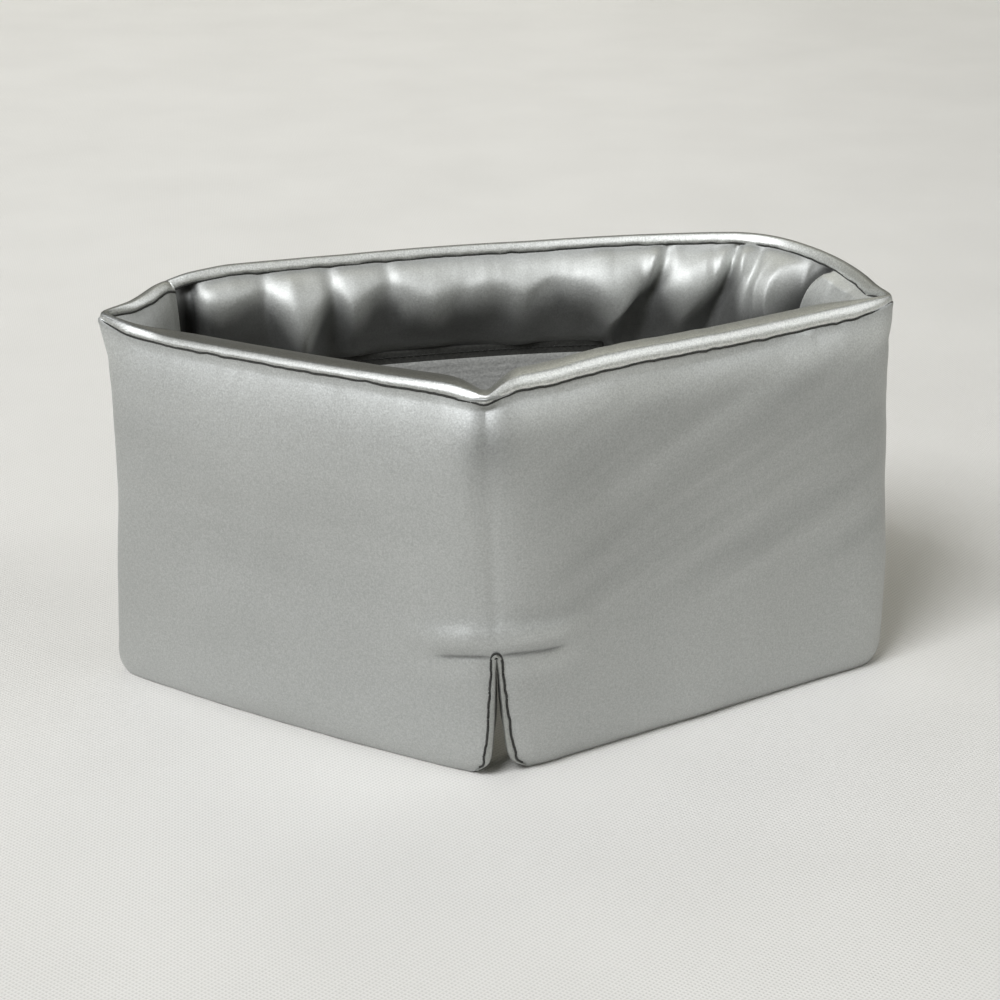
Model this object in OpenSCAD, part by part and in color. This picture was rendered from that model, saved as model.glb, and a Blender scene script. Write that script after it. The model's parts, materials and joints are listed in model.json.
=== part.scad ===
// Wrap-around padded satin sleep mask, closed into a ring and standing on its lower edge.
// Front faces -Y, up is +Z, the origin is at the bottom centre of the whole ring. Units: mm.
// Every wall is drawn in its own frame: x along the wall, y inwards from the outer face, z up.

/* [Overall] */
// Height of the band
band_h = 118; // [90:1:140]
// Length of the left front panel, fold to fold
front_left_len = 130; // [110:1:150]
// Length of the right front panel, fold to fold
front_right_len = 141; // [110:1:160]
// Length of the right side wall
side_len = 72; // [50:1:90]
// Length of the left inner end that tucks under the strap
end_len = 28; // [20:1:45]
// How far the back wall bows outwards from a straight line
back_bow = 13; // [5:1:25]

/* [Directions of the walls, seen from above] */
// Direction of the left front panel
dir_front_left = -30; // [-45:1:-15]
// Direction of the right front panel
dir_front_right = 32; // [15:1:45]
// Direction of the right side wall
dir_side = 115; // [95:1:130]
// Direction of the left end and the strap tab
dir_end = 236; // [225:1:250]

/* [Padding] */
// Wall thickness of the front panels
front_t = 10; // [8:0.5:14]
// Wall thickness of the right side and the back
back_t = 8; // [6:0.5:12]
// Wall thickness of the strap tab
tab_t = 6; // [5:0.5:10]
// Wall thickness of the left inner end
end_t = 7; // [5:0.5:10]
// Thickness of the satin with its backing
satin_t = 1.2; // [0.8:0.1:2]
// Height of the edge binding
rim_h = 5.4; // [4:0.2:8]

/* [Closure] */
// Height of the hook and loop tapes
tape_h = 50; // [25:1:60]
// Thickness of each tape
tape_t = 1; // [0.8:0.1:1.5]
// Gap between the two tapes, crossed by the hooks
tape_gap = 0.4; // [0.3:0.1:1]
// Part of the tab line left uncovered behind the left front corner
tab_start = 13; // [8:1:20]
// Distance along the tab line to the back left fold
tab_fold = 34; // [30:1:45]
// How much lower than the band the tab is, at its top and at its bottom
tab_inset = 7; // [0:1:15]
// Angle of the back wall that the loop tape covers
loop_angle = 21.5; // [10:0.5:28]

/* [Nose slit] */
// Width of the binding along each edge of the slit
slit_bind = 2.4; // [1.5:0.1:4]
// Height of the slit
slit_h = 35; // [25:1:45]

/* [Hidden] */
$fn = 48;
fold_gap = 0.2;
c0 = [-3.1, -70.2];
function dir(a) = [cos(a), sin(a)];
function nrm(a) = [-sin(a), cos(a)];
cl = c0 - front_left_len * dir(dir_front_left);
cr = c0 + front_right_len * dir(dir_front_right);
br = cr + side_len * dir(dir_side);
tab_off = tab_t + 2 * tape_t + tape_gap;
t0 = cl - tab_off * nrm(dir_end);
bl = t0 - tab_fold * dir(dir_end);
chord = norm(br - bl);
dir_back = atan2(bl[1] - br[1], bl[0] - br[0]);
back_r = (chord * chord / 4 + back_bow * back_bow) / (2 * back_bow);
back_half = asin(chord / 2 / back_r);
back_c = (br + bl) / 2 + (back_r - back_bow) * nrm(dir_back);
// fold planes: mean direction of the two walls that meet
fold_c = (dir_front_left + dir_front_right) / 2;
fold_l = (dir_end + 360 + dir_front_left) / 2 - 180 + 180;
fold_r = (dir_front_right + dir_side) / 2;
dir_back_pos = dir_back < 0 ? dir_back + 360 : dir_back;
fold_br = (dir_side + dir_back_pos - back_half) / 2;
fold_bl = (dir_back_pos + back_half + dir_end) / 2;
tape_z0 = (band_h - tape_h) / 2;

satin = [0.64, 0.65, 0.63];
satin_in = [0.55, 0.56, 0.54];
bind_col = [0.72, 0.73, 0.71];
pad_col = [0.9, 0.9, 0.88];
tape_col = [0.3, 0.3, 0.28];
hook_col = [0.36, 0.36, 0.34];
thread_col = [0.14, 0.14, 0.12];

// outer satin with the turned-under lower edge
function shell_sec(t, z0, z1) = [
    [1.4, z0], [0.5, z0 + 5], [0, z0 + 22], [0, z1 - 30], [0.5, z1 - 17], [2, z1 - rim_h],
    [2.8, z1 - rim_h], [1.7, z1 - 17], [satin_t, z1 - 30], [satin_t, z0 + 22],
    [1.7, z0 + 5], [2.4, z0 + satin_t], [t / 2, z0 + satin_t], [t / 2, z0]
];
// inner lining, the same turned round
function lining_sec(t, z0, z1) = [for (p = shell_sec(t, z0, z1)) [t - p[0], p[1]]];
// padding between them
function pad_sec(t, z0, z1) = [
    [2.4, z0 + satin_t], [1.7, z0 + 5], [satin_t, z0 + 22], [satin_t, z1 - 30], [1.7, z1 - 17],
    [2.8, z1 - rim_h], [t - 2.8, z1 - rim_h], [t - 1.7, z1 - 17], [t - satin_t, z1 - 30],
    [t - satin_t, z0 + 22], [t - 1.7, z0 + 5], [t - 2.4, z0 + satin_t]
];
// binding rolled over the top edge
function rim_sec(t, z0, z1) = [
    [1.9, z1 - rim_h], [1.3, z1 - rim_h + 1], [1.2, z1 - 2.6], [1.8, z1 - 1], [2.8, z1],
    [t - 2.8, z1], [t - 1.8, z1 - 1], [t - 1.2, z1 - 2.6], [t - 1.3, z1 - rim_h + 1],
    [t - 1.9, z1 - rim_h]
];
// whole wall, without the binding
function wall_sec(t, z0, z1) = [
    [1.4, z0], [0.5, z0 + 5], [0, z0 + 22], [0, z1 - 30], [0.5, z1 - 17], [2, z1 - rim_h],
    [t - 2, z1 - rim_h], [t - 0.5, z1 - 17], [t, z1 - 30], [t, z0 + 22], [t - 0.5, z0 + 5],
    [t - 1.4, z0]
];

// straight wall from a start point along a direction
module straight(start, a, len, sec) {
    translate([start[0], start[1], 0]) rotate([0, 0, a]) rotate([90, 0, 90])
        linear_extrude(height = len) polygon(sec);
}

// bowed wall: x in the section counts inwards from the outer radius
module bowed(sec, a0, a1) {
    translate([back_c[0], back_c[1], 0]) rotate([0, 0, a0])
        rotate_extrude(angle = a1 - a0, $fn = 180)
            polygon([for (p = sec) [back_r - p[0], p[1]]]);
}

// material on the far side or the near side of a fold plane
module after(p, a) {
    translate([p[0], p[1], 0]) rotate([0, 0, a])
        translate([fold_gap - 60, -60, -5]) cube([60, 120, band_h + 10]);
}
module before(p, a) {
    translate([p[0], p[1], 0]) rotate([0, 0, a])
        translate([-fold_gap, -60, -5]) cube([60, 120, band_h + 10]);
}

// nose slit, widening downwards, run through the front along the fold plane
module slit_cut(grow) {
    translate([c0[0], c0[1], 0]) rotate([0, 0, fold_c]) rotate([90, 0, 0])
        translate([0, 0, -30]) linear_extrude(height = 50) polygon([
            [-12 - grow, -1], [-7 - grow, 0], [-4.2 - grow, 3], [-3.2 - grow, 7],
            [-2.6 - grow, 12], [-1.6 - grow, 23], [-0.4 - grow, slit_h + grow],
            [0.4 + grow, slit_h + grow], [1.6 + grow, 23], [2.6 + grow, 12],
            [3.2 + grow, 7], [4.2 + grow, 3], [7 + grow, 0], [12 + grow, -1]
        ]);
}

module front_left_wall(sec) {
    difference() {
        straight(cl, dir_front_left, front_left_len, sec);
        after(cl, fold_l);
        before(c0, fold_c);
    }
}
module front_right_wall(sec) {
    difference() {
        straight(c0, dir_front_right, front_right_len, sec);
        after(c0, fold_c);
        before(cr, fold_r);
    }
}
module side_wall(sec) {
    difference() {
        straight(cr, dir_side, side_len, sec);
        after(cr, fold_r);
        before(br, fold_br);
    }
}
module back_wall(sec) {
    difference() {
        bowed(sec, dir_back - 90 - back_half, dir_back - 90 + back_half);
        after(br, fold_br);
        before(bl, fold_bl);
    }
}
module tab_wall(sec) {
    difference() {
        straight(bl, dir_end, tab_fold - tab_start, sec);
        after(bl, fold_bl);
    }
}
module end_wall(sec) {
    difference() {
        straight(cl - end_len * dir(dir_end), dir_end, end_len, sec);
        before(cl, fold_l);
    }
}

// ---- left front panel
module outer_shell_front_left() {
    color(satin) difference() {
        front_left_wall(shell_sec(front_t, 0, band_h));
        slit_cut(slit_bind);
    }
}
module padding_front_left() {
    color(pad_col) difference() {
        front_left_wall(pad_sec(front_t, 0, band_h));
        slit_cut(slit_bind);
    }
}
module lining_front_left() {
    color(satin_in) difference() {
        front_left_wall(lining_sec(front_t, 0, band_h));
        slit_cut(slit_bind);
    }
}
module rim_binding_front_left() {
    color(bind_col) front_left_wall(rim_sec(front_t, 0, band_h));
}
module slit_binding_left() {
    color(bind_col) difference() {
        intersection() {
            front_left_wall(wall_sec(front_t, 0, band_h));
            slit_cut(slit_bind);
        }
        slit_cut(0);
    }
}

// ---- right front panel
module outer_shell_front_right() {
    color(satin) difference() {
        front_right_wall(shell_sec(front_t, 0, band_h));
        slit_cut(slit_bind);
    }
}
module padding_front_right() {
    color(pad_col) difference() {
        front_right_wall(pad_sec(front_t, 0, band_h));
        slit_cut(slit_bind);
    }
}
module lining_front_right() {
    color(satin_in) difference() {
        front_right_wall(lining_sec(front_t, 0, band_h));
        slit_cut(slit_bind);
    }
}
module rim_binding_front_right() {
    color(bind_col) front_right_wall(rim_sec(front_t, 0, band_h));
}
module slit_binding_right() {
    color(bind_col) difference() {
        intersection() {
            front_right_wall(wall_sec(front_t, 0, band_h));
            slit_cut(slit_bind);
        }
        slit_cut(0);
    }
}

// ---- right side wall
module outer_shell_side() { color(satin) side_wall(shell_sec(back_t, 0, band_h)); }
module padding_side() { color(pad_col) side_wall(pad_sec(back_t, 0, band_h)); }
module lining_side() { color(satin_in) side_wall(lining_sec(back_t, 0, band_h)); }
module rim_binding_side() { color(bind_col) side_wall(rim_sec(back_t, 0, band_h)); }

// ---- back strap
module outer_shell_back() { color(satin) back_wall(shell_sec(back_t, 0, band_h)); }
module padding_back() { color(pad_col) back_wall(pad_sec(back_t, 0, band_h)); }
module lining_back() { color(satin_in) back_wall(lining_sec(back_t, 0, band_h)); }
module rim_binding_back() { color(bind_col) back_wall(rim_sec(back_t, 0, band_h)); }
module loop_tape_back() {
    color(tape_col) difference() {
        bowed([
            [back_t, tape_z0], [back_t, tape_z0 + tape_h],
            [back_t + tape_t, tape_z0 + tape_h], [back_t + tape_t, tape_z0]
        ], dir_back - 90 + back_half - loop_angle, dir_back - 90 + back_half);
        before(bl, fold_bl);
    }
}
module loop_tape_stitching() {
    color(thread_col) difference() {
        for (z = [tape_z0 + 3, tape_z0 + tape_h - 3.6])
            bowed([
                [back_t + tape_t, z], [back_t + tape_t, z + 0.6],
                [back_t + tape_t + 0.3, z + 0.6], [back_t + tape_t + 0.3, z]
            ], dir_back - 90 + back_half - loop_angle + 0.5, dir_back - 90 + back_half - 1);
        before(bl, fold_bl);
    }
}

// ---- strap tab
module outer_shell_tab() {
    color(satin) tab_wall(shell_sec(tab_t, tab_inset, band_h - tab_inset));
}
module padding_tab() {
    color(pad_col) tab_wall(pad_sec(tab_t, tab_inset, band_h - tab_inset));
}
module lining_tab() {
    color(satin_in) tab_wall(lining_sec(tab_t, tab_inset, band_h - tab_inset));
}
module rim_binding_tab() {
    color(bind_col) tab_wall(rim_sec(tab_t, tab_inset, band_h - tab_inset));
}
module loop_tape_tab() {
    color(tape_col) difference() {
        straight(bl, dir_end, tab_fold - tab_start - 2, [
            [tab_t, tape_z0], [tab_t, tape_z0 + tape_h],
            [tab_t + tape_t, tape_z0 + tape_h], [tab_t + tape_t, tape_z0]
        ]);
        after(bl, fold_bl);
    }
}

// ---- left inner end
module outer_shell_end() { color(satin) end_wall(shell_sec(end_t, 0, band_h)); }
module padding_end() { color(pad_col) end_wall(pad_sec(end_t, 0, band_h)); }
module lining_end() { color(satin_in) end_wall(lining_sec(end_t, 0, band_h)); }
module rim_binding_end() { color(bind_col) end_wall(rim_sec(end_t, 0, band_h)); }
module hook_tape() {
    color(hook_col) straight(cl - (end_len - 2) * dir(dir_end), dir_end, end_len - 6, [
        [-tape_t, tape_z0], [-tape_t, tape_z0 + tape_h], [0, tape_z0 + tape_h], [0, tape_z0]
    ]);
}

outer_shell_front_left();
padding_front_left();
lining_front_left();
rim_binding_front_left();
slit_binding_left();
outer_shell_front_right();
padding_front_right();
lining_front_right();
rim_binding_front_right();
slit_binding_right();
outer_shell_side();
padding_side();
lining_side();
rim_binding_side();
outer_shell_back();
padding_back();
lining_back();
rim_binding_back();
loop_tape_back();
loop_tape_stitching();
outer_shell_tab();
padding_tab();
lining_tab();
rim_binding_tab();
loop_tape_tab();
outer_shell_end();
padding_end();
lining_end();
rim_binding_end();
hook_tape();
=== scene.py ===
import json
import math
import bpy
import numpy as np
from mathutils import Matrix, Vector


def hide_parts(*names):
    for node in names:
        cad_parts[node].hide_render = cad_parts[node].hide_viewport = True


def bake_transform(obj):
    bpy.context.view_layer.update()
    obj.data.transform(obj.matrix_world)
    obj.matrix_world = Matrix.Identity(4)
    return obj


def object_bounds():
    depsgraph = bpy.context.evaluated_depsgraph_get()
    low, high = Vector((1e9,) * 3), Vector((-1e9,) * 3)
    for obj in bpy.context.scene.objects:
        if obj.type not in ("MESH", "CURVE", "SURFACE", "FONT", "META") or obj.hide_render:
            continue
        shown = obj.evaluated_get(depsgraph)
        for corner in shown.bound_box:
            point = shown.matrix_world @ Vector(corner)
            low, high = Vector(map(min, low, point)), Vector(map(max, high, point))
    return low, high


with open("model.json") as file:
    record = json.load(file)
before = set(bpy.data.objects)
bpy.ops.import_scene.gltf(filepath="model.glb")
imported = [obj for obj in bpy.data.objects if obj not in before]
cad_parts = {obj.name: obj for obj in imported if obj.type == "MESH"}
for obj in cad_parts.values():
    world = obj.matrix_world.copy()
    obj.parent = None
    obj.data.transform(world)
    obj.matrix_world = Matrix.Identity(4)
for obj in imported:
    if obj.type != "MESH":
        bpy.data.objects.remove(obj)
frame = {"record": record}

cad_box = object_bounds()
MM = 0.001

# ---------------------------------------------------------------- plan of the band
# All lengths here are in mm; the corners are the five upright folds of the record.
JOINTS = {j["name"]: np.array(j["pos_m"][:2], float) * 1000
          for j in frame["record"]["behaviour"]["joints"]}
C0, CR, BR, BL, CL = (JOINTS[k] for k in ("nose_fold", "right_front_fold", "right_back_fold",
                                          "closure_peel", "left_front_fold"))


def unit(a):
    return np.array([math.cos(math.radians(a)), math.sin(math.radians(a))])


TIP = BL + 21 * unit(236)
TIPE = CL + 28 * unit(56)
# name, start, end, outward bow; walked clockwise from above, from the tab's tip to the left end
WALLS = [("tab", TIP, BL, 0), ("back", BL, BR, 14.5), ("side", BR, CR, 8), ("fr", CR, C0, 1.5),
         ("fl", C0, CL, 3), ("end", CL, TIPE, 0)]
WI = {w[0]: k for k, w in enumerate(WALLS)}
DS = 2.2


def curve(A, B, bow, t):
    t = np.asarray(t, float)[:, None]
    d = B - A
    n = np.array([-d[1], d[0]]) / np.linalg.norm(d)
    P = A + d * t + n * bow * 4 * t * (1 - t)
    T = d + n * bow * 4 * (1 - 2 * t)
    return P, T / np.linalg.norm(T, axis=1)[:, None]


def offset_path(ds, o):
    """The band's line, moved inwards by o and mitred at the folds, sampled alike for every o."""
    tans = [curve(w[1], w[2], w[3], [0, 1])[1] for w in WALLS]
    turn = [0.0]
    for k in range(len(WALLS) - 1):
        a, b = tans[k][1], tans[k + 1][0]
        turn.append(abs(math.atan2(a[0] * b[1] - a[1] * b[0], a @ b)))
    turn.append(0.0)
    pts, wid, tt = [], [], []
    for k, (_, A, B, bow) in enumerate(WALLS):
        L = np.linalg.norm(B - A)
        N = max(6, int(round(L / ds)))
        t = np.linspace(o * math.tan(turn[k] / 2) / L, 1 - o * math.tan(turn[k + 1] / 2) / L, N + 1)
        P, T = curve(A, B, bow, t)
        P = P + o * np.stack([T[:, 1], -T[:, 0]], 1)
        f = np.linspace(0, 1, N + 1)
        if k < len(WALLS) - 1:
            P, f = P[:-1], f[:-1]
        pts.append(P)
        wid += [k] * len(P)
        tt.append(f)
    return np.concatenate(pts), np.array(wid), np.concatenate(tt)


A0, WID, WT = offset_path(DS, 0)
A10, _, _ = offset_path(DS, 10)
B0 = (A10 - A0) / 10
seg = np.linalg.norm(np.diff(A0, axis=0), axis=1)
S = np.concatenate([[0], np.cumsum(seg)])
NS = len(S)
IC = int(np.where(WID == WI["fl"])[0][0])          # the column on the centre fold


def corner_s(name):
    return S[int(np.where(WID == WI[name])[0][0])]


S_BL, S_BR, S_CR, S_C0, S_CL = (corner_s(k) for k in ("back", "side", "fr", "fl", "end"))


def s_at(wall, f):
    k = WI[wall]
    a = S[np.where(WID == k)[0][0]]
    b = S[np.where(WID == k + 1)[0][0]] if k + 1 < len(WALLS) else S[-1]
    return a + (b - a) * f


def at(rows, s=None):
    """Piecewise values along the band from (wall, fraction, value) rows, eased between them."""
    x, y = [], []
    for wall, f, v in rows:
        k = WI[wall]
        a = S[np.where(WID == k)[0][0]]
        b = S[np.where(WID == k + 1)[0][0]] if k + 1 < len(WALLS) else S[-1]
        x.append(a + (b - a) * f)
        y.append(v)
    return np.interp(S if s is None else s, x, y)


def smooth1(a, sig, ds=DS):
    """Gaussian smoothing along the first axis, with the ends carried on straight."""
    a = np.asarray(a, float)
    if sig <= 0.2:
        return a
    r = min(int(4 * sig / ds) + 1, len(a) - 2)
    k = np.exp(-0.5 * (np.arange(-r, r + 1) * ds / sig) ** 2)
    k /= k.sum()
    flat = a.reshape(len(a), -1)
    Q = np.concatenate([2 * flat[0] - flat[1:r + 1][::-1], flat, 2 * flat[-1] - flat[-r - 1:-1][::-1]])
    return np.stack([np.convolve(Q[:, j], k, "valid") for j in range(flat.shape[1])], 1).reshape(a.shape)


def noise1(x, step, seed, octaves=2):
    """Smooth one-dimensional noise in -1..1."""
    out = np.zeros_like(np.asarray(x, float))
    amp, tot = 1.0, 0.0
    for o in range(octaves):
        rs = np.random.RandomState(seed + 31 * o)
        g = rs.uniform(-1, 1, 4096)
        p = np.asarray(x, float) / step * 2 ** o + 512
        i = np.floor(p).astype(int)
        f = p - i
        f = f * f * (3 - 2 * f)
        out += amp * (g[i % 4096] * (1 - f) + g[(i + 1) % 4096] * f)
        tot += amp
        amp *= 0.5
    return out / tot


def noise2(x, y, sx, sy, seed, octaves=2):
    """Smooth two-dimensional noise in -1..1."""
    x, y = np.broadcast_arrays(np.asarray(x, float), np.asarray(y, float))
    out = np.zeros(x.shape)
    amp, tot = 1.0, 0.0
    for o in range(octaves):
        g = np.random.RandomState(seed + 77 * o).uniform(-1, 1, (256, 256))
        p, q = x / sx * 2 ** o + 64, y / sy * 2 ** o + 64
        i, j = np.floor(p).astype(int), np.floor(q).astype(int)
        u, v = p - i, q - j
        u, v = u * u * (3 - 2 * u), v * v * (3 - 2 * v)
        i, j, i1, j1 = i % 256, j % 256, (i + 1) % 256, (j + 1) % 256
        out += amp * ((g[i, j] * (1 - u) + g[i1, j] * u) * (1 - v) + (g[i, j1] * (1 - u) + g[i1, j1] * u) * v)
        tot += amp
        amp *= 0.5
    return out / tot


# ---------------------------------------------------------------- sizes along the band
TOP = smooth1(at([("tab", 0, 109), ("tab", 0.4, 110.2), ("tab", 0.62, 112.0), ("tab", 0.85, 115), ("back", 0, 117.2),
                  ("back", 0.04, 119.2), ("back", 0.1, 120.2), ("back", 0.2, 119.6), ("back", 0.3, 119.2), ("back", 0.6, 119.4), ("back", 0.8, 120.6), ("back", 0.95, 121.4),
                  ("side", 0, 121.2), ("side", 0.35, 120.6), ("side", 0.7, 119.6), ("fr", 0, 119.0),
                  ("fr", 0.06, 118.4), ("fr", 0.2, 118.0), ("fr", 0.5, 118.0), ("fr", 0.7, 118.8), ("fr", 0.82, 117.4),
                  ("fr", 0.93, 117.2), ("fl", 0, 114.2), ("fl", 0.1, 115.2), ("fl", 0.3, 114.6),
                  ("fl", 0.6, 113.9), ("fl", 0.88, 113.1), ("fl", 0.95, 114.2), ("end", 0, 117.4), ("end", 0.35, 118.4),
                  ("end", 0.7, 120.4), ("end", 0.92, 121.0), ("end", 1, 120.0)]), 1.5)
LOW = smooth1(at([("tab", 0, 8), ("tab", 0.6, 6.5), ("back", 0, 4), ("back", 0.06, 0.6),
                  ("back", 0.1, 0.2), ("end", 1, 0.2)]), 2.0)
THICK = smooth1(at([("tab", 0, 5.4), ("back", 0, 6.4), ("back", 0.08, 8), ("side", 1, 8.4),
                    ("fr", 0.12, 13.5), ("fl", 0.88, 13.5), ("end", 0, 7.0), ("end", 1, 6.2)]), 3.0)
# the binding is rolled 3 to 4.4 mm tall and nips in to a point at the folds
NIP = {"C0": np.exp(-((S - S_C0) / 5.5) ** 2), "CL": np.exp(-((S - S_CL) / 7.0) ** 2),
       "CR": np.exp(-((S - S_CR) / 7.0) ** 2)}
PINCH = 0.85 * NIP["C0"] + 0.9 * NIP["CL"] + 0.8 * NIP["CR"]
RIM = smooth1(at([("tab", 0, 3.0), ("back", 0, 3.0), ("side", 0, 3.0), ("side", 1, 3.4), ("fr", 0.12, 4.4),
                  ("fr", 0.9, 4.4), ("fl", 0.12, 3.4), ("fl", 0.3, 2.9), ("fl", 0.9, 2.7), ("end", 0.1, 3.0),
                  ("end", 1, 3.0)]), 3.0) * (1 - 0.42 * PINCH)
SEAM_OUT = smooth1(at([("tab", 0, 1.2), ("back", 0.1, 2.6), ("side", 0, 2.6), ("side", 1, 2.2),
                       ("fr", 0.2, 3.6), ("fl", 0.9, 3.6), ("end", 0, 1.2), ("end", 1, 1.0)]), 3.0)
SEAM_IN = smooth1(at([("tab", 0, 1.0), ("back", 0.1, 1.6), ("side", 1, 1.6), ("fr", 0.2, 1.0),
                      ("fl", 0.9, 1.0), ("end", 0, 1.2), ("end", 1, 1.0)]), 4.0)
BULGE = smooth1(at([("tab", 0, 0.2), ("back", 0.1, 1.4), ("back", 0.8, 2.0), ("side", 0.2, 2.0),
                    ("side", 1, 2.0), ("fr", 0.3, 2.4), ("fl", 0.7, 2.4), ("fl", 0.94, 1.6),
                    ("end", 0, 0.6), ("end", 0.6, 0.0)]), 5.0)
BULGE_IN = smooth1(at([("tab", 0, 0.1), ("back", 0, 0.3), ("back", 0.1, 0.6), ("back", 0.9, 0.6), ("side", 0.2, 1.0),
                       ("side", 1, 2.0), ("fr", 0.3, 2.4), ("fl", 0.7, 2.4), ("fl", 0.94, 1.6),
                       ("end", 0, 1.6), ("end", 0.6, 1.2), ("end", 1, 0.6)]), 4.0)


def slit_half(z):
    """Half the clear width of the nose slit at height z."""
    return np.interp(z, [0, 0.6, 1.4, 3, 5, 7, 12, 18, 26, 33, 37.3, 39.3],
                     [9.8, 7.6, 6.0, 4.5, 3.6, 3.0, 2.2, 1.7, 1.2, 0.85, 0.6, 0.0])


def slit_half_in(z):
    """The same on the lining side, where the padding of the two flaps nearly meets."""
    return np.interp(z, [0, 0.6, 1.4, 3, 5, 8, 12, 18, 37], [9.8, 7.6, 6.0, 4.0, 3.0, 1.9, 1.1, 0.7, 0.5])


SLIT_TOP = 38.3

# rows of the section: side (0 outer, 1 inner), fraction of height up to the seam
NZ = 46
ZF = np.linspace(0, 1, NZ)
dens = 1 + 1.6 * np.exp(-((ZF - 0.345) / 0.05) ** 2) + 0.5 * np.exp(-((ZF - 1) / 0.06) ** 2)
ZF = np.concatenate([[0], np.cumsum((1 / dens[1:] + 1 / dens[:-1]) / 2)])
ZF /= ZF[-1]                                          # rows closer by the crease and the seam


def row_z(f):
    """Height of each column at fraction f of the way from the lower edge to the seam."""
    return LOW + (TOP - RIM - LOW) * f


def face_offset(f, z, outer):
    """How far the surface stands in from the outer line: rounded at the lower edge, bulged in the
    middle and drawn in towards the seam."""
    b = np.clip(TOP - RIM - z, 0, 200)
    down = np.clip(1 - (z - LOW) / 9.0, 0, 1)
    seam, bulge, reach = (SEAM_OUT, BULGE, 10.0) if outer else (SEAM_IN, BULGE_IN, 7.5)
    belly = 1 - np.exp(-np.clip(z - LOW, 0, 200) / 13.0)
    nip = 0 if outer else 3.0 * PINCH
    return (seam + bulge + nip) * np.exp(-(b / reach) ** 1.15) + 2.2 * down ** 2.4 - bulge * belly


def soften(P, sig):
    """Rounds the folds in plan; the one at the back right is a gentle bend at every height."""
    w = np.exp(-((S - S_BR) / 20.0) ** 2)[:, None]
    return smooth1(P, sig) * (1 - w) + smooth1(P, max(sig, 7.0)) * w


def corner_sigma(f):
    """How soft the upright folds are: sharp at the rim, round half way up."""
    return float(np.interp(f, [0, 0.1, 0.5, 0.82, 0.93, 1.0, 1.1], [4.5, 6.0, 7.5, 6.0, 3.5, 1.2, 0.9]))


def lean(P, f):
    """The lower left corner stands further out and back than the rim above it."""
    w = np.interp(S, [S_C0, S_CL - 4, S_CL + 4, S[-1]], [0, 1, 1, 0.4])
    h = max(0.0, 1 - f / 0.75)
    up = float(np.clip((f - 0.9) / 0.1, 0, 1))
    near = np.exp(-((S - S_C0) / 42.0) ** 2) * max(0.0, 1 - f / 0.85)
    P = P + np.outer(near, [4.2, 0.0])
    P[:, 1] += near * np.where(S > S_C0, -2.2, 0.9) * max(0.0, 1 - f / 0.34) * np.clip(np.abs(S - S_C0) / 4, 0, 1)
    return P + np.outer(w * h, [-3.8, 4.6]) + up * (np.outer(NIP["CL"], [-2.2, -0.6])
                                                    + np.outer(NIP["CR"], [1.4, 0.0])) \
        + np.outer(np.exp(-((S - S_CR) / 16.0) ** 2),
                   [float(np.interp(f, [0, 0.3, 0.47, 0.63, 0.72, 0.81, 0.9, 0.97, 1],
                                    [2, 1.7, 1, 0, 0.2, -1.6, -1.6, -0.4, 0])), 0.0])


def place(o, z, f, sig=None):
    """Points of one row: o inwards from the outer line and z up, both one value a column."""
    P = soften(A0 + B0 * np.asarray(o)[:, None], corner_sigma(f) if sig is None else sig)
    P = lean(P, f)
    return np.column_stack([P, z])


def open_slit(row, side, q):
    """Moves a row's columns off the centre line, so that the two flaps stand apart."""
    out = row.copy()
    z = row[:, 2]
    gap = slit_half(z) * (1 - q) + slit_half_in(z) * q
    reach = 34.0
    if side > 0:     # the right flap: columns up to and with IC
        d = S[IC] - S[:IC + 1]
        g = gap[:IC + 1]
        m = d < reach
        nd = g + d * (reach - g) / reach
        x = np.interp(nd, (S[IC] - S[:IC + 1])[::-1], row[:IC + 1, 0][::-1])
        y = np.interp(nd, (S[IC] - S[:IC + 1])[::-1], row[:IC + 1, 1][::-1])
        out[:IC + 1, 0] = np.where(m, x, out[:IC + 1, 0])
        out[:IC + 1, 1] = np.where(m, y, out[:IC + 1, 1])
        return out[:IC + 1]
    d = S[IC:] - S[IC]
    g = gap[IC:]
    m = d < reach
    nd = g + d * (reach - g) / reach
    x = np.interp(nd, d, row[IC:, 0])
    y = np.interp(nd, d, row[IC:, 1])
    out[IC:, 0] = np.where(m, x, out[IC:, 0])
    out[IC:, 1] = np.where(m, y, out[IC:, 1])
    return out[IC:]


# ---------------------------------------------------------------- the padded body as a grid
# Columns: 0..IC on the right of the slit, then IC..end again on its left. Rows run round the section.
rows, kinds = [], []


def add_row(o, z, f, kind, q, sig=None):
    row = place(o, z, f, sig)
    full = np.concatenate([open_slit(row, 1, q), open_slit(row, -1, q)])
    rows.append(full)
    kinds.append((kind, f))


edge_in = 2.4
for f in ZF:
    z = row_z(f)
    add_row(face_offset(f, z, True), z, f, "out", 0.0)
for q in (0.0, 0.5, 1.0):                             # hidden under the binding
    z = TOP - RIM + 1.0 - 0.4 * PINCH
    o = (SEAM_OUT + 0.9) * (1 - q) + (THICK - SEAM_IN - 3.0 * PINCH - 0.9) * q
    add_row(o, z, 1.02, "cap", q)
for f in ZF[::-1]:
    z = row_z(f)
    add_row(THICK - face_offset(f, z, False), z, f, "in", 1.0)
for q in (0.16, 0.5, 0.84):
    z = LOW - 0.15
    o = (THICK - 2.6) * (1 - q) + 2.6 * q
    add_row(o, z, 0.0, "low", 1 - q)
G = np.array(rows).transpose(1, 0, 2)                 # column, row, xyz
NC, NR = G.shape[:2]
JR, JL = IC, IC + 1                                   # the two columns at the centre fold
COLS = np.concatenate([S[:IC + 1], S[IC:]])
KIND = [k for k, _ in kinds]
KF = np.array([f for _, f in kinds])
ZMID = G[JR, :, 2]
SPLIT = np.array([ZMID[r] < SLIT_TOP and KIND[r] != "cap" for r in range(NR)])
OUT_ROWS = [r for r in range(NR) if KIND[r] == "out"]
IN_ROWS = [r for r in range(NR) if KIND[r] == "in"]


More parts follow.
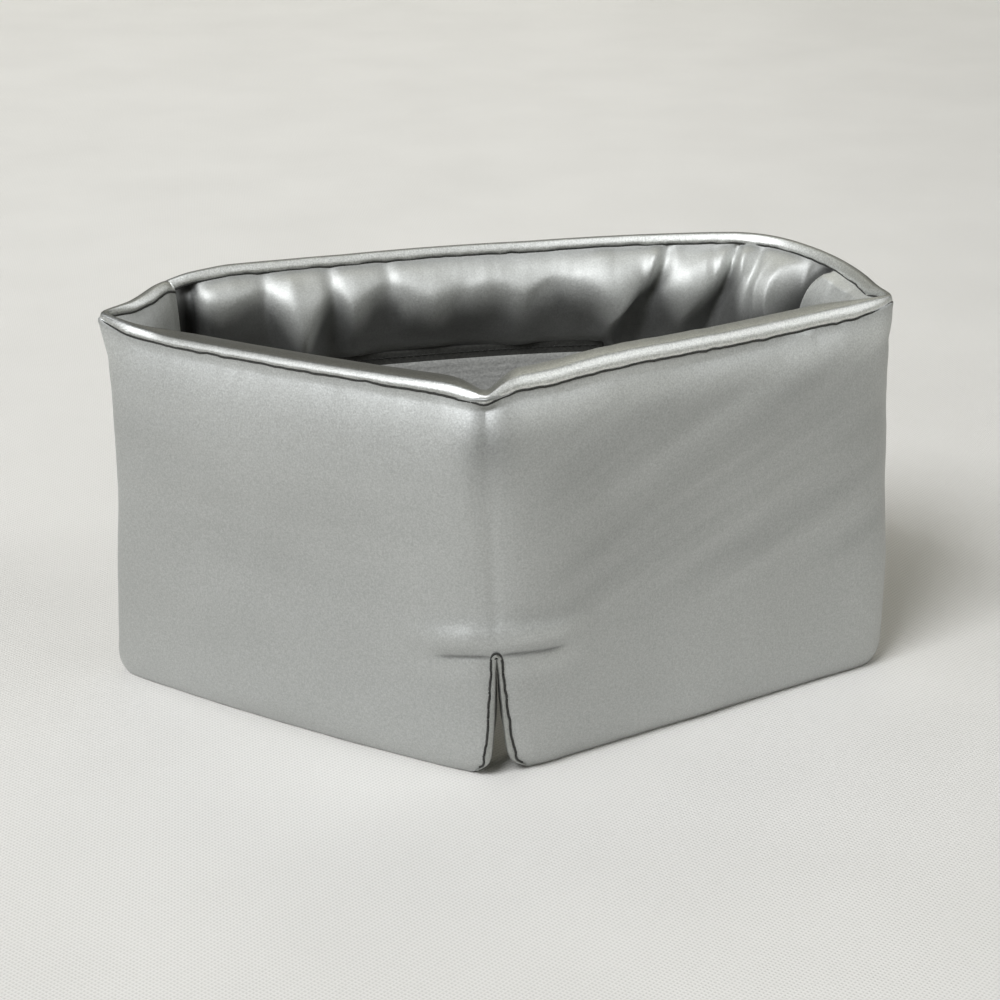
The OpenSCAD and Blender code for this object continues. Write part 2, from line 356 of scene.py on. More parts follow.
def make_mesh(name, co, faces):
    me = bpy.data.meshes.new(name)
    me.from_pydata([tuple(p) for p in (np.asarray(co) * MM)], [], faces)
    me.update()
    return me


def grid_faces(nc, nr, c0, c1, jr, split, index):
    """Quads between columns c0..c1, all round the section, leaving the slit open."""
    faces = []
    for c in range(c0, c1):
        for r in range(nr):
            r2 = (r + 1) % nr
            if c == jr and (split[r] or split[r2]):
                continue
            q = [index(c, r), index(c + 1, r), index(c + 1, r2), index(c, r2)]
            if len(set(q)) < 3:
                continue
            if len(set(q)) == 3:
                q = list(dict.fromkeys(q))
            faces.append(q)
    return faces


def weld_index(nc, nr, jr, split):
    """Vertex numbers of the grid, with the two centre columns shared above the slit."""
    idx = -np.ones((nc, nr), int)
    n = 0
    for c in range(nc):
        for r in range(nr):
            if c == jr + 1 and not split[r]:
                idx[c, r] = idx[jr, r]
            else:
                idx[c, r] = n
                n += 1
    return idx, n


def side_faces(idx, col, outs, ins, flip):
    """The walls of the slit: quads from the outer face to the lining at one flap's edge."""
    faces = []
    for (ra, rb), (ia, ib) in zip(zip(outs[:-1], outs[1:]), zip(ins[:-1], ins[1:])):
        q = [idx[col, ra], idx[col, rb], idx[col, ib], idx[col, ia]]
        q = list(dict.fromkeys(q))
        if len(q) > 2:
            faces.append(q[::-1] if flip else q)
    return faces


def simulate(G):
    """Blows the band up a little with Blender's cloth: the seams are held, the lining has cloth to spare."""
    idx, n = weld_index(NC, NR, JR, SPLIT)
    co = np.zeros((n, 3))
    co[idx.ravel()] = G.reshape(-1, 3)
    faces = grid_faces(NC, NR, 0, NC - 1, JR, SPLIT, lambda c, r: int(idx[c, r]))
    so = [r for r in OUT_ROWS if SPLIT[r]] + [max(r for r in OUT_ROWS if SPLIT[r]) + 1]
    si = [r for r in IN_ROWS if SPLIT[r]][::-1] + [min(r for r in IN_ROWS if SPLIT[r]) - 1]
    faces += side_faces(idx, JR, so, si, False) + side_faces(idx, JL, so, si, True)
    faces.append([int(idx[0, r]) for r in range(NR)][::-1])
    faces.append([int(idx[NC - 1, r]) for r in range(NR)])
    me = make_mesh("swell", co, faces)
    ob = bpy.data.objects.new("swell", me)
    bpy.context.scene.collection.objects.link(ob)
    pin = ob.vertex_groups.new(name="pin")
    slack = ob.vertex_groups.new(name="slack")
    w = np.zeros(n)
    for r in range(NR):
        k, f = KIND[r], KF[r]
        if k in ("cap", "low"):
            w[idx[:, r]] = 1.0
        elif f > 0.985 or f < 0.006:
            w[idx[:, r]] = 1.0
        elif f < 0.03:
            w[idx[:, r]] = 0.5
    for c in list(range(0, 2)) + list(range(NC - 2, NC)):
        w[idx[c]] = 1.0
    for r in range(NR):
        if SPLIT[r]:
            w[idx[JR, r]] = w[idx[JL, r]] = 1.0
    top_split = max(r for r in OUT_ROWS if SPLIT[r])
    w[idx[JR, top_split + 1]] = 1.0
    sl = np.zeros(n)
    for r in IN_ROWS:
        sl[idx[:, r]] = 1.0
    for v in np.unique(np.round(w, 3)):
        if v > 0:
            pin.add([int(i) for i in np.where(np.abs(w - v) < 5e-4)[0]], float(v), "REPLACE")
    slack.add([int(i) for i in np.where(sl > 0)[0]], 1.0, "REPLACE")
    mod = ob.modifiers.new("cloth", "CLOTH")
    cs = mod.settings
    cs.quality = 6
    cs.mass = 0.15
    cs.tension_stiffness = cs.compression_stiffness = 12
    cs.shear_stiffness = 6
    cs.bending_stiffness = 0.06
    cs.air_damping = 2.0
    cs.vertex_group_mass = "pin"
    cs.pin_stiffness = 1.0
    cs.vertex_group_shrink = "slack"
    cs.shrink_min = -0.01
    cs.shrink_max = -0.07
    cs.use_pressure = True
    cs.uniform_pressure_force = 2.2
    cs.effector_weights.gravity = 0.0
    mod.collision_settings.use_collision = False
    mod.collision_settings.use_self_collision = False
    mod.point_cache.frame_start, mod.point_cache.frame_end = 1, 18
    for fr in range(1, 17):
        bpy.context.scene.frame_set(fr)
    ev = ob.evaluated_get(bpy.context.evaluated_depsgraph_get())
    out = np.empty(n * 3)
    ev.data.vertices.foreach_get("co", out)
    out = out.reshape(-1, 3) / MM
    bpy.context.scene.frame_set(1)
    bpy.data.objects.remove(ob)
    step = out - co
    far = np.linalg.norm(step, axis=1)
    print("cloth moved: mean %.2f mm, 95%% %.2f, most %.2f" % (far.mean(), np.percentile(far, 95), far.max()))
    step = step[idx]
    outer = np.array([k in ("out", "low", "cap") for k in KIND])
    calm, fine = step.copy(), step.copy()
    for part in (slice(0, JR + 1), slice(JL, NC)):
        for r in range(NR):
            calm[part, r] = smooth1(step[part, r], 11.0)
            fine[part, r] = smooth1(step[part, r], 2.4)
        calm[part] = smooth1(calm[part].transpose(1, 0, 2), 9.0).transpose(1, 0, 2)
        fine[part] = smooth1(fine[part].transpose(1, 0, 2), 2.0).transpose(1, 0, 2)
    step = np.where(outer[None, :, None], calm, fine)
    far = np.linalg.norm(step, axis=2)
    cap = 5.0
    step *= np.where(far > cap, cap / np.maximum(far, 1e-9), 1.0)[..., None]
    w = w[idx]
    return G + step * (1 - w)[..., None]


G = simulate(G)


# ---------------------------------------------------------------- finer grid
def cr(P, n, periodic=False):
    """Catmull-Rom points along the first axis, n to a step."""
    m = len(P)
    if periodic:
        Q = np.concatenate([P[-1:], P, P[:2]])
        last = m
    else:
        Q = np.concatenate([2 * P[:1] - P[1:2], P, 2 * P[-1:] - P[-2:-1]])
        last = m - 1
    out = []
    for i in range(last):
        a, b, c, d = Q[i], Q[i + 1], Q[i + 2], Q[i + 3]
        for k in range(n):
            t = k / n
            out.append(0.5 * (2 * b + (c - a) * t + (2 * a - 5 * b + 4 * c - d) * t * t
                              + (3 * b - a - 3 * c + d) * t ** 3))
    if not periodic:
        out.append(P[-1])
    return np.array(out)


def refine(G, nu, nv):
    """Finer columns and rows. Above the slit the centre line is one smooth surface."""
    rows = []
    for r in range(NR):
        if SPLIT[r]:
            rows.append(np.concatenate([cr(G[:JR + 1, r], nu), cr(G[JL:, r], nu)]))
        else:
            whole = cr(np.concatenate([G[:JR + 1, r], G[JL + 1:, r]]), nu)
            k = JR * nu
            rows.append(np.concatenate([whole[:k + 1], whole[k:]]))
    H = np.array(rows)                                # row, column
    return cr(H, nv, periodic=True).transpose(1, 0, 2)


NU, NV = ((2, 2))
F = refine(G, NU, NV)
FC, FR = F.shape[:2]
FJR, FJL = JR * NU, JR * NU + 1
FCOL = np.concatenate([np.interp(np.arange(JR * NU + 1) / NU, np.arange(JR + 1), COLS[:JR + 1]),
                       np.interp(np.arange((NC - JL - 1) * NU + 1) / NU, np.arange(NC - JL), COLS[JL:])])
FKIND, FF = [], []
for r in range(NR):
    for k in range(NV):
        FKIND.append(KIND[r])
        a, b = KF[r], KF[(r + 1) % NR]
        FF.append(a + (b - a) * k / NV)
FF = np.array(FF)
last_out = max(i for i, k in enumerate(FKIND) if k == "out")
FSPLIT = np.array([F[FJR, r, 2] < SLIT_TOP and FKIND[r] != "cap" for r in range(FR)])


def grid_normals(F):
    """Outward normals of the closed section surface, by differences."""
    du = np.gradient(F, axis=0)
    dv = (np.roll(F, -1, axis=1) - np.roll(F, 1, axis=1)) / 2
    n = np.cross(dv, du)
    n /= np.maximum(np.linalg.norm(n, axis=2), 1e-9)[..., None]
    return n


SS = FCOL[:, None] + np.zeros((1, FR))
ZZ = F[:, :, 2].copy()
out_mask = np.array([k == "out" for k in FKIND])
in_mask = np.array([k == "in" for k in FKIND])
top_col = np.interp(FCOL, S, TOP)
below = (top_col - np.interp(FCOL, S, RIM))[:, None] - ZZ                 # distance under the seam
UC = FCOL[:, None] - S_C0                             # distance from the centre fold, left positive


def window(x, a, b, soft):
    """1 between a and b, easing to 0 over soft on each side."""
    return np.clip((x - a) / soft + 0.5, 0, 1) * np.clip((b - x) / soft + 0.5, 0, 1)


TZ0, TZ1 = 36.5, 87.5
S_TAPE0, S_TAPE1 = 3.0, s_at("back", 0.738)


def outer_shape():
    d = np.zeros((FC, FR))
    # small gathers that hang from the seam
    g = noise1(FCOL, 3.4, 5)[:, None] * 0.30 + noise1(FCOL, 9.0, 6)[:, None] * 0.30
    d += g * np.exp(-np.clip(below, 0, 200) / 5.0)
    d += noise2(SS, ZZ, 34, 46, 11) * 0.45
    # long soft drag lines, diagonal on the right, level on the left
    right = window(UC, -135, -22, 26) * window(ZZ, 48, 104, 16)
    wave = SS * 0.40 + ZZ
    d += right * (0.22 * np.sin(wave / 3.6 + noise2(SS, ZZ, 30, 14, 21) * 2.2)
                  * (0.4 + 0.6 * np.clip(noise2(SS, wave, 45, 9, 22) + 0.3, 0, 1)))
    left = window(UC, 78, 125, 20) * window(ZZ, 62, 92, 10)
    d += left * 0.14 * np.sin(ZZ / 2.3 + SS * 0.05)
    # the crease on each side of the slit's apex, with a soft swell above and below it
    for sgn, far, zc, tilt in ((1, 16.5, 38.0, -0.10), (-1, 21.0, 38.5, -0.02)):
        u = UC * sgn
        zline = zc + tilt * u + 0.35 * np.sin(u / 4.0)
        w = window(u, 1.2, far, 7.0)
        d += w * (-0.35 * np.exp(-((ZZ - zline) / 0.8) ** 2) - 0.25 * np.exp(-((ZZ - zline - 0.8) / 2.0) ** 2)
                  + 0.35 * np.exp(-((ZZ - zline + 6.0) / 4.0) ** 2))
        wide = window(u, 3.0, far + 7.0, 14.0)
        d += wide * 2.0 * np.exp(-((ZZ - zline - 5.2) / 4.4) ** 2)
    # the wall is thinner towards the slit's bound edges
    near = np.exp(-(np.abs(UC) / 5.0) ** 2) * np.clip((40.3 - ZZ) / 6, 0, 1)
    d -= 1.3 * near
    # the centre fold: a shallow hollow under the rim
    d -= 3.0 * np.exp(-(UC / 5.0) ** 2) * np.exp(-np.clip(below, 0, 200) / 16.0)
    # a nick in the right edge
    d -= 1.5 * np.exp(-((SS - S_CR) / 12.0) ** 2) * np.exp(-((ZZ - 84) / 7.0) ** 2)
    # uneven lower edge
    d += noise1(FCOL, 15.0, 9)[:, None] * 0.5 * np.exp(-np.clip(ZZ, 0, 200) / 7.0)
    return d


SHAPE = {}


def lining_shape():
    d = np.zeros((FC, FR))
    b = np.clip(below, 0, 200)
    start = np.clip(b / 1.5, 0, 1)
    d += start * np.exp(-b / 6.0) * (0.35 * noise1(FCOL, 3.6, 41) + 0.2 * noise1(FCOL, 1.9, 44))[:, None]
    d += start * 0.7 * noise2(SS, ZZ, 22, 30, 45)
    # along the back the filling swells out under the seam: how far down its crest lies, place by place
    X = F[:, :, 0]
    xs = [-104, -97, -91, -84, -77, -72, -67, -61.5, -56, -52.6, -49, -46.8, -41, -35.5, -29, -21.9, -15, -9.4,
          -2, 6.2, 13, 18.7, 25, 31.3, 38, 44, 47, 50.5, 55, 59.6, 65, 69, 73, 76.8, 80, 84.6, 100]
    cs = [5, 4, 5, 8, 6, 4.5, 10, 18, 9, 5, 8, 12, 8, 6, 9, 12, 9, 10,
          9, 13, 10, 8, 9, 10, 14, 17, 9, 4.5, 8, 12, 15, 13, 8, 4.5, 9, 14, 12]
    lean_x = X + np.interp(X, [-100, -60, 0, 40, 90], [-0.02, 0.05, 0.0, 0.34, 0.24]) * b
    crest = np.interp(lean_x, xs, cs)
    k = np.exp(-0.5 * (np.arange(-4, 5) * 0.55) ** 2)
    crest = np.apply_along_axis(lambda v: np.convolve(np.pad(v, 4, "edge"), k / k.sum(), "valid"), 0, crest)
    crest = crest * (1 + 0.12 * noise2(SS, ZZ, 14, 18, 46))
    SHAPE["crest"] = crest
    swell = 1.2 + 0.62 * crest
    u = np.clip(b / crest, 0, 1)
    rise = 1 - (1 - u) ** 2
    past = np.exp(-(np.clip(b - crest, 0, 200) / 17.0) ** 2)
    back = window(SS, S_BL + 2, S_BR + 20, 8)
    d += back * rise * (4.0 + (swell - 4.0) * past)
    # deep narrow folds that run down from the seam: place, lean, width, depth, length
    for x0, run, wd, amp, length in ((-93.5, 0.00, 2.6, -5.0, 120), (-72.4, 0.03, 2.6, -1.6, 16),
                                     (-65, -0.05, 2.6, 1.0, 14), (-52.6, 0.02, 2.2, -1.8, 16),
                                     (-35.5, 0.02, 2.4, -1.2, 14), (49.5, 0.34, 1.7, 2.2, 20),
                                     (53.5, 0.34, 1.8, -2.2, 22), (68, 0.02, 1.0, -0.9, 30),
                                     (75.5, 0.36, 1.5, -3.2, 22), (79.0, 0.34, 1.8, 2.0, 18),
                                     (83.0, 0.20, 1.7, -2.0, 18)):
        c = x0 - run * b
        d += back * start * amp * np.exp(-((X - c) / wd) ** 2) * np.exp(-(b / length) ** 2)
    # the lining of the side is laid in one deep pleat, its edge slanting back as it goes down
    edge = s_at("side", 0.50) - 0.95 * b + 0.012 * b * b
    t = SS - edge
    SHAPE["pleat"] = t
    side = window(SS, S_BR + 4, S_CR - 2, 6) * start
    d += side * (3.4 / (1 + np.exp(-np.clip(t / 0.45, -30, 30))) * np.exp(-(np.clip(t, 0, 99) / 26.0) ** 2)
                 - 3.0 * np.exp(-((t + 2.2) / 2.4) ** 2)) * np.exp(-(b / 42.0) ** 2)
    d += side * 2.2 * (1 - np.exp(-b / 7.0))
    # the front lining and the left end swell too, which shows over the rim only a little
    rest = window(SS, S_CR + 2, S_CL - 2, 8)
    d += rest * 1.2 * (1 - np.exp(-b / 8.0)) + rest * start * 0.8 * noise1(SS, 14.0, 47)
    end = window(SS, S_CL + 2, S[-1] + 9, 4)
    d += end * (1.8 * (1 - np.exp(-b / 5.0)) + start * 0.5 * noise2(SS, ZZ, 9, 16, 48))
    tape_bed = window(SS, S_TAPE0 - 2, S_TAPE1 + 1.5, 4) * window(ZZ, TZ0 - 2, TZ1 + 1.0, 4)
    d = d * (1 - tape_bed) + 3.4 * tape_bed * window(SS, S_BL - 6, S_BL + 400, 8)
    near_slit = np.exp(-(np.abs(UC) / 5.0) ** 2) * np.clip((40.3 - ZZ) / 6, 0, 1)
    d -= 0.9 * near_slit
    return d


def step01(x):
    x = np.clip(x, 0, 1)
    return x * x * (3 - 2 * x)


def tones():
    """Painted light and dark, as a factor on the base colour, to match the photograph: lighter under the
    seams, darker low on the lining, behind its pleat and along the two creases. It is fixed to the cloth,
    so it doesn't change with the light, the view or the pose."""
    b = np.clip(below, 0, 200)
    X = F[:, :, 0]
    front = window(SS, S_CR + 2, S_CL + 2, 8)
    lift = 0.45 - 0.30 * step01(UC / 30.0 + 0.3)
    o = 1 + front * (lift * np.exp(-((b - 5.5) / 5.5) ** 2) + 0.08 * np.exp(-((b - 14) / 8.0) ** 2)
                     - 0.16 * np.exp(-(b / 1.3) ** 2)) + 0.05 * noise2(SS, ZZ, 40, 30, 91)
    # painted light and shade along the drag lines: diagonal streaks on the right panel, level ones on the left
    wave = SS * 0.40 + ZZ
    right = window(UC, -138, -22, 26) * window(ZZ, 44, 108, 16)
    o += right * (0.12 * noise2(wave, SS, 7.0, 90.0, 92) + 0.07 * noise2(wave, SS, 3.0, 60.0, 93) - 0.05)
    left = window(UC, 20, 135, 30) * window(ZZ, 50, 100, 14)
    o += left * 0.05 * noise2(ZZ, SS, 6.0, 80.0, 94)
    # painted shade in the hollow at the centre fold, under the rim
    o -= 0.44 * np.exp(-(UC / 8.0) ** 2) * np.exp(-((b - 8) / 13.0) ** 2)
    # painted shade along each crease beside the slit, with a painted highlight above and below it
    for sgn, far, zc, tilt in ((1, 16.5, 38.0, -0.10), (-1, 21.0, 38.5, -0.02)):
        u = UC * sgn
        zline = zc + tilt * u + 0.35 * np.sin(u / 4.0)
        o -= window(u, 1.2, far, 5.0) * (0.55 * np.exp(-((ZZ - zline) / 0.55) ** 2)
                                         + 0.07 * np.exp(-((ZZ - zline - 1.2) / 1.6) ** 2))
        above, under = (0.08, 0.05) if sgn > 0 else (0.26, 0.13)
        o += window(u, 4.0, far + 5.0, 12.0) * (above * np.exp(-((ZZ - zline - 7.0) / 2.6) ** 2)
                                                + under * np.exp(-((ZZ - zline + 4.5) / 3.0) ** 2))
    # painted highlight on the lining's swell under the seam and painted shade below its crest, darker again right at
    # the seam
    c = np.maximum(SHAPE["crest"], 4.0)
    edge = c * 1.15 + 1.6 * noise2(SS, ZZ, 7, 40, 95)
    low = step01((b - edge * 0.72) / (edge * 0.75 + 2.5))
    dim = 0.40 + 0.10 * noise2(SS, ZZ, 30, 16, 96)
    i = 1.22 * (1 - low) + dim * low
    i *= 1 - 0.35 * np.exp(-(b / 1.6) ** 2)
    back = window(SS, S_BL + 2, S_BR + 20, 8)
    # beyond the back the lining is painted lighter near the top and in shade lower down
    i = i * back + (1 - back) * (1.15 - 0.55 * step01((b - 6) / 20.0))
    # painted shadow in the narrow gap between the left end's tip and the back wall
    i *= 1 - 0.78 * window(X, -99, -90.5, 2.0) * window(SS, S_BL, S_BR, 4)
    # painted shade in the side lining behind the pleat's edge, painted highlight on the fold in front of it
    t = SHAPE["pleat"]
    side = window(SS, S_BR + 4, S_CR - 2, 6)
    i *= 1 - side * 0.75 * step01(-t / 1.2 + 0.5) * np.exp(-(np.clip(-t, 0, 99) / 9.0) ** 2)
    i = i * (1 - side * step01(t / 1.0)) + side * step01(t / 1.0) * (1.3 - 0.5 * step01((b - 8) / 14.0))
    end = window(SS, S_CL + 2, S[-1] + 9, 4)
    i = i * (1 - end) + end * (0.95 + 0.12 * noise2(SS, ZZ, 12, 30, 97))
    return np.where(out_mask[None, :], o, i)


N = grid_normals(F)
D = np.zeros((FC, FR))
held = np.clip(below / 1.5, 0, 1)                     # nothing moves at the seam itself
floor_ease = np.clip((ZZ - LOW.min()) / 2.5, 0, 1)
end_ease = np.clip(FCOL / 6, 0, 1)[:, None] * np.clip((S[-1] - FCOL) / 6, 0, 1)[:, None]
D += out_mask[None, :] * outer_shape() * held
D += in_mask[None, :] * lining_shape() * held
D *= end_ease * (0.25 + 0.75 * floor_ease)
F = F + N * D[..., None]
F[:, :, 2] = np.maximum(F[:, :, 2], 0.15)
for r in range(FR):
    if not FSPLIT[r]:
        F[FJL, r] = F[FJR, r]

TONE = tones()
for r in range(FR):
    if FKIND[r] in ("cap", "low"):
        TONE[:, r] = 1.0

print("grid", F.shape, "box", F.reshape(-1, 3).min(0).round(1), F.reshape(-1, 3).max(0).round(1))


# ---------------------------------------------------------------- materials
def nodes_of(name):
    m = bpy.data.materials.new(name)
    m.use_nodes = True
    nt = m.node_tree
    return m, nt, nt.nodes, nt.links, nt.nodes["Principled BSDF"]


def ramp(nt, stops):
    r = nt.nodes.new("ShaderNodeValToRGB")
    e = r.color_ramp.elements
    e[0].position, e[0].color = stops[0][0], (*stops[0][1], 1)
    e[1].position, e[1].color = stops[-1][0], (*stops[-1][1], 1)
    for p, c in stops[1:-1]:
        x = e.new(p)
        x.color = (*c, 1)
    return r


def satin(name, low, high, rough=0.5, metal=0.72, bump=0.06, toned=False, grain_by=0.10):
    m, nt, ns, lk, b = nodes_of(name)
    tc = ns.new("ShaderNodeTexCoord")
    mp = ns.new("ShaderNodeMapping")
    mp.inputs["Scale"].default_value = (1, 1, 1)
    lk.new(tc.outputs["Object"], mp.inputs["Vector"])
    big = ns.new("ShaderNodeTexNoise")
    big.inputs["Scale"].default_value = 26
    big.inputs["Detail"].default_value = 3
    fine = ns.new("ShaderNodeTexNoise")
    fine.inputs["Scale"].default_value = 2100
    fine.inputs["Detail"].default_value = 2
    grain = ns.new("ShaderNodeTexNoise")
    grain.inputs["Scale"].default_value = 1500
    grain.inputs["Detail"].default_value = 3
    for n in (big, fine, grain):
        lk.new(mp.outputs["Vector"], n.inputs["Vector"])
    mix = ns.new("ShaderNodeMath")
    mix.operation = "MULTIPLY_ADD"
    mix.inputs[1].default_value = 0.35
    lk.new(big.outputs["Fac"], mix.inputs[0])
    g2 = ns.new("ShaderNodeMath")
    g2.operation = "MULTIPLY"
    g2.inputs[1].default_value = 0.65
    lk.new(grain.outputs["Fac"], g2.inputs[0])
    lk.new(g2.outputs[0], mix.inputs[2])
    cr_ = ramp(nt, [(0.32, low), (0.68, high)])
    lk.new(mix.outputs[0], cr_.inputs["Fac"])
    speck = ns.new("ShaderNodeMapRange")
    speck.inputs["From Min"].default_value = 0.34
    speck.inputs["From Max"].default_value = 0.66
    speck.inputs["To Min"].default_value = 1 - grain_by
    speck.inputs["To Max"].default_value = 1 + grain_by
    lk.new(fine.outputs["Fac"], speck.inputs["Value"])
    tint = ns.new("ShaderNodeVectorMath")
    tint.operation = "SCALE"
    lk.new(cr_.outputs["Color"], tint.inputs[0])
    lk.new(speck.outputs["Result"], tint.inputs["Scale"])
    # toned: the base colour is multiplied by the mesh's tone attribute, a factor of painted light and shade
    if toned:
        at_ = ns.new("ShaderNodeAttribute")
        at_.attribute_type = "GEOMETRY"
        at_.attribute_name = "tone"
        tt_ = ns.new("ShaderNodeVectorMath")
        tt_.operation = "SCALE"
        lk.new(tint.outputs["Vector"], tt_.inputs[0])
        lk.new(at_.outputs["Fac"], tt_.inputs["Scale"])
        tint = tt_
    lk.new(tint.outputs["Vector"], b.inputs["Base Color"])
    rr = ns.new("ShaderNodeMapRange")
    rr.inputs["From Min"].default_value = 0.3
    rr.inputs["From Max"].default_value = 0.7
    rr.inputs["To Min"].default_value = rough - 0.04
    rr.inputs["To Max"].default_value = rough + 0.05
    lk.new(grain.outputs["Fac"], rr.inputs["Value"])
    lk.new(rr.outputs["Result"], b.inputs["Roughness"])
    b.inputs["Metallic"].default_value = metal
    b.inputs["Sheen Weight"].default_value = 0.12
    b.inputs["Sheen Roughness"].default_value = 0.4
    b.inputs["Anisotropic"].default_value = 0.0
    bp = ns.new("ShaderNodeBump")
    bp.inputs["Strength"].default_value = 0.5
    bp.inputs["Distance"].default_value = bump * MM
    wv = ns.new("ShaderNodeMath")
    wv.operation = "ADD"
    lk.new(fine.outputs["Fac"], wv.inputs[0])
    lk.new(grain.outputs["Fac"], wv.inputs[1])
    lk.new(wv.outputs[0], bp.inputs["Height"])
    lk.new(bp.outputs["Normal"], b.inputs["Normal"])
    return m


def matte(name, low, high, scale=500, rough=0.85, bump=0.12, sheen=0.2):
    m, nt, ns, lk, b = nodes_of(name)
    tc = ns.new("ShaderNodeTexCoord")
    no = ns.new("ShaderNodeTexNoise")
    no.inputs["Scale"].default_value = scale
    no.inputs["Detail"].default_value = 4
    lk.new(tc.outputs["Object"], no.inputs["Vector"])
    c = ramp(nt, [(0.3, low), (0.7, high)])
    lk.new(no.outputs["Fac"], c.inputs["Fac"])
    lk.new(c.outputs["Color"], b.inputs["Base Color"])
    b.inputs["Roughness"].default_value = rough
    b.inputs["Sheen Weight"].default_value = sheen
    bp = ns.new("ShaderNodeBump")
    bp.inputs["Strength"].default_value = 0.6
    bp.inputs["Distance"].default_value = bump * MM
    lk.new(no.outputs["Fac"], bp.inputs["Height"])
    lk.new(bp.outputs["Normal"], b.inputs["Normal"])
    return m


M_SHELL = satin("satin_shell_mat", (0.44, 0.451, 0.44), (0.515, 0.526, 0.515), toned=True)
M_LINING = satin("satin_lining_mat", (0.46, 0.468, 0.452), (0.55, 0.558, 0.542), rough=0.64, metal=0.90, toned=True,
                 grain_by=0.07)
M_BIND = satin("satin_binding_mat", (0.33, 0.34, 0.325), (0.43, 0.44, 0.42), rough=0.40, metal=0.85, bump=0.09)
M_RIM = satin("satin_rim_mat", (0.56, 0.57, 0.55), (0.68, 0.69, 0.665), rough=0.45, metal=0.85, bump=0.10,
              toned=True, grain_by=0.12)
# near black: the thread of seams and stitches, and on the binding's seams also a painted shadow of the groove
M_THREAD_AND_SEAM_SHADE = matte("thread_and_seam_shade_mat", (0.010, 0.010, 0.008), (0.028, 0.028, 0.024), scale=900)
M_TAPE = matte("loop_tape_mat", (0.29, 0.292, 0.28), (0.44, 0.44, 0.42), scale=1400, bump=0.3, sheen=0.5)
# near black: the tapes' dark border, on the loop tape also a painted shadow where the lining bulges over its sewn edge
M_TAPE_EDGE = matte("tape_edge_mat", (0.012, 0.012, 0.010), (0.035, 0.035, 0.030), scale=1100, bump=0.2)
M_HOOK = matte("hook_tape_mat", (0.09, 0.09, 0.082), (0.15, 0.15, 0.14), scale=1600, rough=0.6, bump=0.3, sheen=0.1)


# ---------------------------------------------------------------- pieces
# Five stretches of the band, one to a fold; each is cut half way along a wall.
CUTS = [0.0, s_at("back", 0.79), s_at("side", 0.52), s_at("fr", 0.5), s_at("fl", 0.5), S[-1]]
STRETCH = [("closure", "strap_tab", "back_strap", S_BL, 7.0), ("back", "back_strap", "right_side", S_BR, 16.0),
           ("side", "right_side", "front_right", S_CR, 14.0), ("front", "front_right", "front_left", S_C0, 9.0),
           ("end", "front_left", "left_end", S_CL, 7.0)]


def bend(ob, k):
    name, a, b, s0, reach = STRETCH[k]
    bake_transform(ob)


def finish_piece(name, co, faces, mats, k, normals=None, face_mat=None, tone=None):
    me = make_mesh(name, co, faces)
    if tone is not None:
        me.attributes.new("tone", "FLOAT", "POINT").data.foreach_set("value", np.asarray(tone, np.float32))
    for m in mats:
        me.materials.append(m)
    me.polygons.foreach_set("use_smooth", [True] * len(me.polygons))
    if face_mat is not None:
        me.polygons.foreach_set("material_index", face_mat)
    if normals is not None:
        me.normals_split_custom_set_from_vertices([tuple(v) for v in normals])
    me.update()
    ob = bpy.data.objects.new(name, me)
    bpy.context.scene.collection.objects.link(ob)
    bend(ob, k)
    return ob


def whole_normals(co, faces):
    """Area-weighted normals of the whole surface, so that its stretches shade as one."""
    n = np.zeros((len(co), 3))
    for q in faces:
        p = co[q]
        m = np.zeros(3)
        for i in range(1, len(q) - 1):
            m += np.cross(p[i] - p[0], p[i + 1] - p[0])
        for v in q:
            n[v] += m
    return n / np.maximum(np.linalg.norm(n, axis=1), 1e-12)[:, None]


# the padded body, cut into its five stretches
idx, nv = weld_index(FC, FR, FJR, FSPLIT)
body = np.zeros((nv, 3))
body[idx.ravel()] = F.reshape(-1, 3)
shade = np.ones(nv + 2)
shade[idx.ravel()] = TONE.ravel()
all_faces, face_col, face_row = [], [], []
for c in range(FC - 1):
    for r in range(FR):
        r2 = (r + 1) % FR
        if c == FJR and (FSPLIT[r] or FSPLIT[r2]):
            continue
        q = list(dict.fromkeys([int(idx[c, r]), int(idx[c + 1, r]), int(idx[c + 1, r2]), int(idx[c, r2])]))
        if len(q) > 2:
            all_faces.append(q)
            face_col.append(c)
            face_row.append(r)
so = [r for r in range(FR) if FKIND[r] == "out" and FSPLIT[r]]
so = so + [max(so) + 1]
si = [r for r in range(FR) if FKIND[r] == "in" and FSPLIT[r]]
si = [min(si) - 1] + si
si = si[::-1]
m_ = min(len(so), len(si))
so, si = so[-m_:], si[-m_:]
for col, flip in ((FJR, False), (FJL, True)):
    for j in range(m_ - 1):
        q = list(dict.fromkeys([int(idx[col, so[j]]), int(idx[col, so[j + 1]]),
                                int(idx[col, si[j + 1]]), int(idx[col, si[j]])]))
        if len(q) > 2:
            all_faces.append(q[::-1] if flip else q)
            face_col.append(col)
            face_row.append(-1)
for col, flip in ((0, True), (FC - 1, False)):
    ring = [int(idx[col, r]) for r in range(FR)]
    mid = body[ring].mean(0)
    body = np.vstack([body, mid])
    mi = len(body) - 1
    for j in range(FR):
        q = [ring[j], ring[(j + 1) % FR], mi]
        all_faces.append(q[::-1] if flip else q)
        face_col.append(col if col == 0 else FC - 2)
        face_row.append(-1)
face_col, face_row = np.array(face_col), np.array(face_row)
